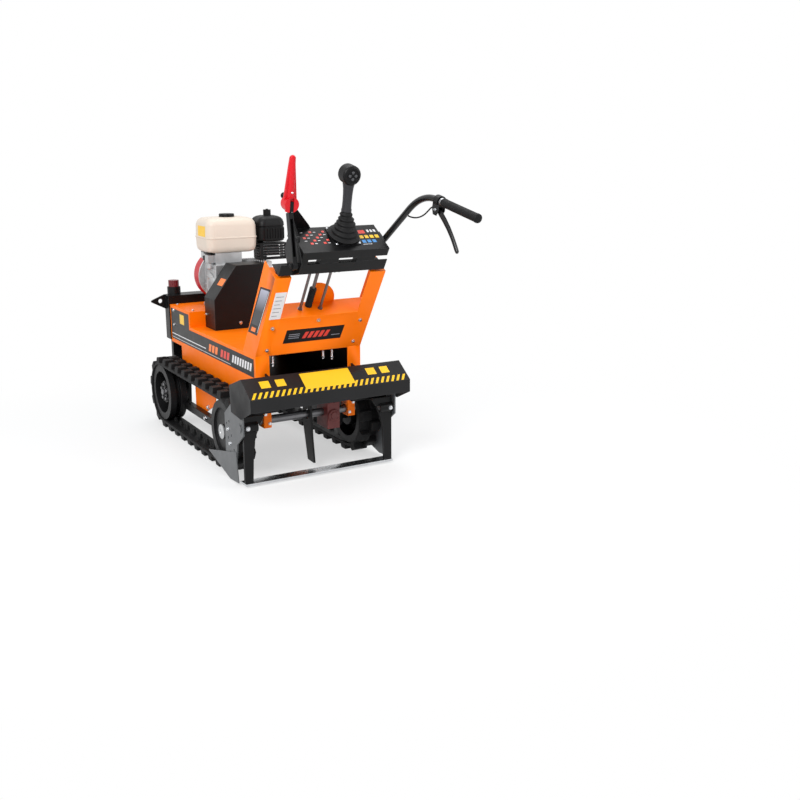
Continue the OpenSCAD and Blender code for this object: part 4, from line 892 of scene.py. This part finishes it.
def fuel_cap():
    """Cap with flutes round its rim."""
    profile = ((AXIS_R, 5.2), (27.4, 5.2), (27.4, 0), (31.2, 0), (32, 1), (32, 10.5), (30, 12.4), (22, 13),
               (AXIS_R, 13))
    bm = bmesh.new()
    rings = []
    for radius, z in profile:
        ring = []
        for a in around(CAP_STEPS):
            flute = FLUTE_DEPTH * (0.5 + 0.5 * math.cos(FLUTES * a)) if radius > FLUTES_FROM_R else 0.0
            ring.append(Vector(((radius - flute) * math.cos(a), (radius - flute) * math.sin(a), z)))
        rings.append(ring)
    add_loft(bm, rings)
    at = GROUND @ shift(TANK_AT[0] + NECK_X, TANK_AT[1], TANK_AT[2] + CAP_UP)
    piece("fuel_cap_top", bm, "black_plastic", "petrol_cap", at, stands_for=["fuel_cap"])


def air_cleaner():
    """Black housing with a domed lid, ribs and clips, on its intake elbow."""
    bm = bmesh.new()
    add_shell(bm, AIR_SIZE, AIR_CORNER, AIR_LEVELS, AIR_AT)
    add_prism(bm, patch(131, 163, 955, 990), 700, 781)
    for x in range(140, 225, 12):
        add_box(bm, (x - 1.5, 877, 787), (x + 1.5, 882, 829))
    piece("air_cleaner_shell", bm, "black_plastic", "machine", bevel=0.8, stands_for=["air_cleaner"])
    clips = bmesh.new()
    for x in (114, 235.5):
        add_box(clips, (x, 929, 818), (x + 2.5, 951, 856))
    piece("air_cleaner_clips", clips, "alloy", "machine", bevel=0.6)


def engine_castings():
    """Alloy pieces on the crankcase: side cover, ribs, tank bracket and carburettor."""
    bm = bmesh.new()
    face = facing((CASE_LEFT, 938, 604), LEFT)
    add_lathe(bm, [(0, -1), (50, -1), (50, 4), (47, 6), (30, 8), (27, 6), (0, 6)], face)
    for k in range(6):
        add_bolt(bm, face @ turn(60 * k, "Z") @ shift(42, 0, 6), 5, False)
    for z in (534, 545, 660, 672, 684):
        add_box(bm, (CASE_LEFT - 2.5, 884, z - 2), (CASE_LEFT + 1, 994, z + 2))
    add_box(bm, (-84, 972, 731), (58, 1046, 736.8))
    add_box(bm, (-84, 998, 690), (-78, 1046, 734))
    add_box(bm, (-104, 908, 697), (-74, 946, 729))
    bowl = [(0, 670), (12, 670), (15, 674), (15, 694), (17, 695), (17, 699), (0, 699)]
    add_lathe(bm, bowl, shift(-90, 927, 0))
    piece("engine_castings", bm, "alloy", "machine", bevel=1.0)


def engine_trim():
    """Black pieces on the crankcase: intake block, oil plug and tank pad."""
    bm = bmesh.new()
    add_box(bm, (-96, 950, 702), (-74, 996, 720))
    plug = [(0, 0), (12, 0), (12, 9), (9, 14), (9, 22), (6, 24), (0, 24)]
    add_lathe(bm, plug, facing((CASE_LEFT, 900, 566), (-1, 0, 0.6)))
    add_box(bm, (-100, 900, 731), (-78, 972, 735))
    piece("engine_trim", bm, "black_plastic", "machine", bevel=1.2)


def guard_louvres():
    """Folded lips over the slots of the muffler guard."""
    bm = bmesh.new()
    for k in range(LOUVRES):
        z = LOUVRE_Z + LOUVRE_PITCH * k
        add_box(bm, (128, 876.5, z), (224, 881, z + LOUVRE_H))
        for x0, x1 in ((113.5, 117), (235, 239.5)):
            add_box(bm, (x0, 892, z), (x1, 936, z + LOUVRE_H))
    piece("guard_louvres", bm, "grey_paint", "machine", bevel=0.3)


fuel_tank()
fuel_cap()
air_cleaner()
engine_castings()
engine_trim()
guard_louvres()

# Control rods with their gaiter, bracket and washers

SHELF_Z = 172
FRAME_Z = 364
ROD_PLACES = ((-60, 41), (16, 36))
ROD_R = 5
ROD_BELOW = 60
LINK_AT = (-22, 55)
LINK_R = 6
GAITER_RIBS = 11
GAITER_PITCH = 6
BRACKET_H = 24
MOUNT_AT = (180, 30)


def control_rods():
    """Two rods with nuts, and the link inside the gaiter."""
    bm = bmesh.new()
    for x, y in ROD_PLACES:
        add_lathe(bm, cylinder(ROD_R, SHELF_Z - ROD_BELOW, FRAME_Z), shift(x, y, 0), 24)
        for z in (SHELF_Z, FRAME_Z - 22):
            add_bolt(bm, shift(x, y, z), 9)
    add_lathe(bm, cylinder(LINK_R, SHELF_Z, FRAME_Z), shift(*LINK_AT, 0), 24)
    piece("rod_pair", bm, "rod_steel", "machine", TOWER, stands_for=["control_rods"])


def rod_gaiter():
    """Ribbed rubber sleeve on the link."""
    profile = [(0, 0), (13, 0), (13, 4)]
    for k in range(GAITER_RIBS):
        profile += [(10.6, 5.5 + GAITER_PITCH * k), (12.8, 8.5 + GAITER_PITCH * k)]
    profile += [(11, 74), (13, 75), (13, 78), (0, 78)]
    bm = bmesh.new()
    add_lathe(bm, profile, shift(*LINK_AT, SHELF_Z), 32)
    piece("rod_gaiter", bm, "rubber", "machine", TOWER)


def rod_bracket():
    """Folded bracket under the console frame: two cheeks and a back."""
    low = FRAME_Z - BRACKET_H
    bm = bmesh.new()
    for x in (24, 40):
        add_box(bm, (x, 26, low), (x + 4, 46, FRAME_Z))
    add_box(bm, (24, 42, low), (44, 46, FRAME_Z))
    piece("rod_bracket", bm, "black_paint", "machine", TOWER, bevel=0.8)


def mount_washers():
    """Washers below and above each rubber mount."""
    bm = bmesh.new()
    for side in (-1, 1):
        for z in (354, 362.4):
            add_lathe(bm, cylinder(18, z, z + 1.6), shift(MOUNT_AT[0] * side, MOUNT_AT[1], 0), 32)
    piece("mount_washers", bm, "steel", "machine", TOWER)


control_rods()
rod_gaiter()
rod_bracket()
mount_washers()

# Joystick boot in two parts, split at half its height

BOOT_LOW = -18
BOOT_H = 84
BOOT_RIBS = 6
BOOT_RIB_DEPTH = 4.5
BOOT_FOOT_R = 55
BOOT_NECK_R = 22
BOOT_WALL = 3
BOOT_LEAST_R = 9.5
BOOT_ROWS = 30
BOOT_STEPS = 48


def boot_ring(t, wall):
    """Ring of the boot at a share of its height and a depth in its wall. It leans more higher up."""
    share = min(max((BOOT_RIBS * t - 0.5) / (BOOT_RIBS - 1), 0.0), 1.0)
    radius = BOOT_FOOT_R - (BOOT_FOOT_R - BOOT_NECK_R) * share ** 0.8
    radius -= BOOT_RIB_DEPTH * (0.5 + 0.5 * math.cos(2 * math.pi * BOOT_RIBS * t))
    if wall:
        radius = max(radius - wall, BOOT_LEAST_R)
    at = shift(*STICK_AT) @ turn(STICK_LEAN * share, "X")
    return ring_at(at, radius, BOOT_LOW + BOOT_H * t, BOOT_STEPS)


def boot_part(name, t0, t1):
    """Part of the boot between two shares of its height."""
    shares = [t0 + (t1 - t0) * k / BOOT_ROWS for k in range(BOOT_ROWS + 1)]
    outside = [boot_ring(t, 0) for t in shares]
    inside = [boot_ring(t, BOOT_WALL) for t in reversed(shares)]
    bm = bmesh.new()
    add_loop(bm, outside + inside)
    boot = piece(name, bm, "rubber", None, TOWER)
    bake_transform(boot)
    return boot


boot_low = boot_part("boot_low", 0.0, 0.5)
boot_part("boot_high", 0.5, 1.0)
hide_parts("joystick_boot")

# Joystick grip with a round head and four buttons on its rear face

HEAD_Z = 192
HEAD_R = 33
HEAD_HALF = 25
HEAD_ROUND = 9
FACE_DEPTH = 1.5
BUTTON_PITCH = 11
BUTTON_SEAT = 2
BUTTONS = {"top": (0, 1), "bottom": (0, -1), "left": (-1, 0), "right": (1, 0)}


def joystick_grip():
    """Waisted grip on its stem, with the pin that turns in the gimbal."""
    profile = [(0, -12), (8, -12), (8, 66), (15.5, 66.4), (17.6, 68), (17.6, 76), (16.2, 79), (15.6, 100),
               (16, 125), (17.4, 146), (20, 160), (21, 172), (0, 172)]
    bm = bmesh.new()
    add_lathe(bm, profile)
    add_lathe(bm, cylinder(4, -19, 19), turn(90, "X"), 20)
    piece("joystick_grip", bm, "stick_plastic", "stick", STICK, stands_for=["joystick_handle"])


def joystick_head():
    """Round head that lies along Y, with rounded rims and a sunk rear face."""
    rear = -HEAD_HALF
    rim_r = HEAD_R - HEAD_ROUND
    rim_z = rear + HEAD_ROUND
    angles = [math.radians(a) for a in range(0, 91, 15)]
    rim = [(rim_r + HEAD_ROUND * math.sin(a), rim_z - HEAD_ROUND * math.cos(a)) for a in angles]
    far_rim = [(r, -z) for r, z in reversed(rim)]
    face = [(0, rear + FACE_DEPTH), (HEAD_R - 13, rear + FACE_DEPTH), (HEAD_R - 12, rear)]
    bm = bmesh.new()
    add_lathe(bm, face + rim + far_rim + [(0, HEAD_HALF)], shift(0, 0, HEAD_Z) @ turn(-90, "X"))
    piece("joystick_head", bm, "black_plastic", "stick", STICK)


def joystick_button(word, x, z):
    """One button, at a step across and up from the middle of the rear face."""
    at = facing((BUTTON_PITCH * x, BUTTON_SEAT - HEAD_HALF, HEAD_Z + BUTTON_PITCH * z), BACK)
    node = "button_" + word
    bm = bmesh.new()
    add_lathe(bm, [(0, 0), (5, 0), (5, 3.6), (4.2, 4.6), (0, 5)], at, 28)
    piece("stick_" + node, bm, "grey_plastic", "key_" + word, STICK, stands_for=[node])


joystick_grip()
joystick_head()
for word, (step_x, step_z) in BUTTONS.items():
    joystick_button(word, step_x, step_z)

# Handlebar, grip, hand lever and its cable

BAR_R = 11
BAR_FOOT = (208.5, 65, 442)
BEND_REACH = 90
BEND_STEPS = 20
GRIP_RIBS = 29
GRIP_PITCH = 6
CHEEK_T = 2.5
LEVER_L = 165
LEVER_DROP = math.radians(38)
CABLE_R = 2.5
CABLE_ROUTE = [(240, -276, 973), (240, -262, 976), (240, -246, 971), (240, -228, 960), (239, -208, 948),
               (237, -184, 939), (234, -158, 935), (230, -132, 937), (226, -108, 945)]


def handlebar():
    """Bent tube from the tower to the grip, with its foot plate."""
    tower = GROUND.inverted() @ TOWER
    foot = tower @ Vector(BAR_FOOT)
    bend = Vector(BAR_BEND)
    end = Vector(BAR_END)
    near = bend + BEND_REACH * (foot - bend).normalized()
    far = bend + BEND_REACH * (end - bend).normalized()
    shares = [k / BEND_STEPS for k in range(BEND_STEPS + 1)]
    curve = [near.lerp(bend, t).lerp(bend.lerp(far, t), t) for t in shares]
    bm = bmesh.new()
    add_tube(bm, [foot] + curve + [end], BAR_R, 32)
    add_box(bm, (192.5, 38, 428), (198.5, 92, 456), tower)
    piece("handlebar_tube", bm, "bar_paint", "machine", bevel=1.0, stands_for=["handlebar"])


def hand_grip():
    """Ribbed rubber sleeve on the bar's end, and two rings in front of it."""
    profile = [(0, -3), (9, -3), (12.6, -2.2), (14.4, 0), (15, 3), (15, 8), (14, 10)]
    for k in range(GRIP_RIBS):
        z = 12 + GRIP_PITCH * k
        profile += [(13.7, z), (14.2, z + 1), (14.2, z + 4), (13.7, z + 5)]
    profile += [(14, 185), (15, 187), (15, 193), (14, 195), (0, 195)]
    bm = bmesh.new()
    add_lathe(bm, profile, steps=40)
    piece("hand_grip_sleeve", bm, "rubber", "machine", ALONG_BAR, stands_for=["hand_grip"])
    rings = bmesh.new()
    for z in (198, 203):
        add_ring(rings, [(10.8, z), (13, z), (13.4, z + 1), (13.4, z + 2), (13, z + 3), (10.8, z + 3)])
    piece("grip_rings", rings, "steel", "machine", ALONG_BAR)


def lever_cheeks():
    """Side plates of the hand lever's housing, outside those of its clamp."""
    outline = [(203, -4), (240, -4), (240, -28), (232, -46), (212, -46), (203, -30)]
    bm = bmesh.new()
    for x in (-CHEEK_OUT, CHEEK_OUT - CHEEK_T):
        add_loft(bm, [[Vector((x + d, y, z)) for y, z in outline] for d in (0, CHEEK_T)])
    piece("lever_cheeks", bm, "bar_paint", "machine", BAR, bevel=0.8)


def hand_lever():
    """Lever with a bowed back that swells at its end, in the frame of the bar.

    Its stations are the share of its length, the bow, and half its height and width.
    """
    along = Vector((0, -math.cos(LEVER_DROP), -math.sin(LEVER_DROP)))
    up = Vector((0, -math.sin(LEVER_DROP), math.cos(LEVER_DROP)))
    right = Vector(RIGHT)
    pivot = Vector((0, *LEVER_AT))
    stations = ((-0.05, 0, 5.5, 4.6), (-0.03, 0, 8, 6), (0.04, 0, 10, 6.5), (0.14, 2.5, 10.4, 6.5),
                (0.3, 6, 10, 6.3), (0.5, 8, 9.2, 6), (0.7, 7, 8.4, 5.8), (0.86, 4, 8, 6),
                (0.96, 1.5, 8, 6.3), (1.02, 0.5, 7, 5.8), (1.04, 0.3, 4, 3.2))
    bm = bmesh.new()
    rings = []
    for share, bow, high, wide in stations:
        centre = pivot + share * LEVER_L * along + bow * up
        rings.append([centre + high * math.sin(a) * up + wide * math.cos(a) * right for a in around(24)])
    add_loft(bm, rings)
    piece("hand_lever_blade", bm, "bar_paint", "brake_lever", BAR, stands_for=["hand_lever"])


def lever_cable():
    """Cable along its route, with a ferrule at each end."""
    route = curve_through(CABLE_ROUTE)
    bm = bmesh.new()
    add_tube(bm, route, CABLE_R, 14)
    piece("lever_cable_sheath", bm, "rubber", "machine", stands_for=["lever_cable"])
    ferrules = bmesh.new()
    sleeve = [(0, 0), (3.2, 0), (3.6, 1), (3.6, 12), (3.0, 15), (3.0, 18), (0, 18)]
    for end, inner in ((route[0], route[1]), (route[-1], route[-2])):
        add_lathe(ferrules, sleeve, facing(end, inner - end), 20)
    piece("cable_ferrules", ferrules, "steel", "machine")


handlebar()
hand_grip()
lever_cheeks()
hand_lever()
lever_cable()

# Stage, light and camera: lamps and floor are in metres

CAMERA_AT = (-1557.6, -3073.2, 1181.7)
CAMERA_AHEAD = (0.4952, 0.8328, -0.2473)
SENSOR_W = 36
FOCAL_PX = 1013.8
FRAME_PX = 800
WHITE = (1, 1, 1, 1)
SKY = (0.94, 0.97, 1.0, 1.0)
SKY_STRENGTH = 0.55
FLOOR_GREY = (0.86, 0.86, 0.86, 1)
FLOOR_HALF = 30.0
SHADOW_SHARE = 0.45
SHADOW_FULL = 0.7
SHADOW_END = 1.9
LAMP_AIM = (0, 0, 0.5)


def look_along(obj, direction):
    """Turns a camera or lamp so that it looks along a direction."""
    obj.rotation_mode = "QUATERNION"
    obj.rotation_quaternion = Vector(direction).to_track_quat("-Z", "Y")


def camera():
    """Camera at the photograph's viewing angle."""
    data = bpy.data.cameras.new("Camera")
    data.sensor_width = SENSOR_W
    data.lens = SENSOR_W * FOCAL_PX / FRAME_PX
    data.clip_end = 100
    obj = add_to_scene("Camera", data)
    obj.location = GROUND @ Vector(CAMERA_AT)
    look_along(obj, CAMERA_AHEAD)
    bpy.context.scene.camera = obj


def seen_directly(tree):
    """1 for camera, glossy and transmission rays."""
    path = add_node(tree, "LightPath")
    total = path.outputs["Is Camera Ray"]
    for ray in ("Is Glossy Ray", "Is Transmission Ray"):
        larger = add_node(tree, "Math", {0: total, 1: path.outputs[ray]}, operation="MAXIMUM")
        total = larger.outputs["Value"]
    return total


def mix_to_output(tree, share, lit, white, output):
    """Mixes a lit and a white shader by a share and hands them to the output."""
    mix = add_node(tree, "MixShader", {"Fac": share, 1: lit, 2: white})
    tree.links.new(mix.outputs["Shader"], tree.nodes[output].inputs["Surface"])


def white_world():
    """World that lights softly and looks white."""
    world = bpy.data.worlds.new("Studio")
    bpy.context.scene.world = world
    world.use_nodes = True
    tree = world.node_tree
    light = tree.nodes["Background"]
    set_inputs(light, {"Color": SKY, "Strength": SKY_STRENGTH})
    white = add_node(tree, "Background", None, {"Color": WHITE, "Strength": 1.0})
    shaders = (light.outputs["Background"], white.outputs["Background"])
    mix_to_output(tree, seen_directly(tree), *shaders, "World Output")


def floor_material():
    """Grey that looks white away from the machine and keeps the shadow near it."""
    material = bpy.data.materials.new("Floor")
    material.use_nodes = True
    tree = material.node_tree
    matt = tree.nodes["Principled BSDF"]
    set_inputs(matt, {"Base Color": FLOOR_GREY, "Roughness": 0.9, "Specular IOR Level": 0.0})
    white = add_node(tree, "Emission", None, {"Color": WHITE, "Strength": 1.0})
    where = add_node(tree, "TexCoord").outputs["Object"]
    distance = add_node(tree, "VectorMath", {0: where}, operation="LENGTH").outputs["Value"]
    limits = {"From Min": SHADOW_FULL, "From Max": SHADOW_END, "To Min": 1 - SHADOW_SHARE, "To Max": 1.0}
    reach = add_node(tree, "MapRange", {"Value": distance}, limits, interpolation_type="SMOOTHSTEP")
    share = times(tree, seen_directly(tree), reach.outputs["Result"])
    mix_to_output(tree, share, matt.outputs["BSDF"], white.outputs["Emission"], "Material Output")
    return material


def floor():
    """Pale floor just below the tracks."""
    mesh = bpy.data.meshes.new("Floor")
    corners = [(x, y, -MM) for x, y in patch(-FLOOR_HALF, FLOOR_HALF, -FLOOR_HALF, FLOOR_HALF)]
    mesh.from_pydata(corners, [], [(0, 1, 2, 3)])
    mesh.materials.append(floor_material())
    add_to_scene("Floor", mesh)


def soft_lamp(name, at, size, power):
    """Square lamp that looks at the middle of the machine."""
    data = bpy.data.lights.new(name, "AREA")
    data.size = size
    data.energy = power
    obj = add_to_scene(name, data)
    obj.location = at
    look_along(obj, Vector(LAMP_AIM) - Vector(at))


camera()
white_world()
floor()
soft_lamp("Key", (-3.2, -2.6, 3.2), size=2.2, power=170)
soft_lamp("Fill", (3.4, -2.4, 2.4), size=2.6, power=70)
soft_lamp("Top", (0.4, 0.8, 4.2), size=2.4, power=60)
bpy.context.scene.view_settings.view_transform = "Standard"
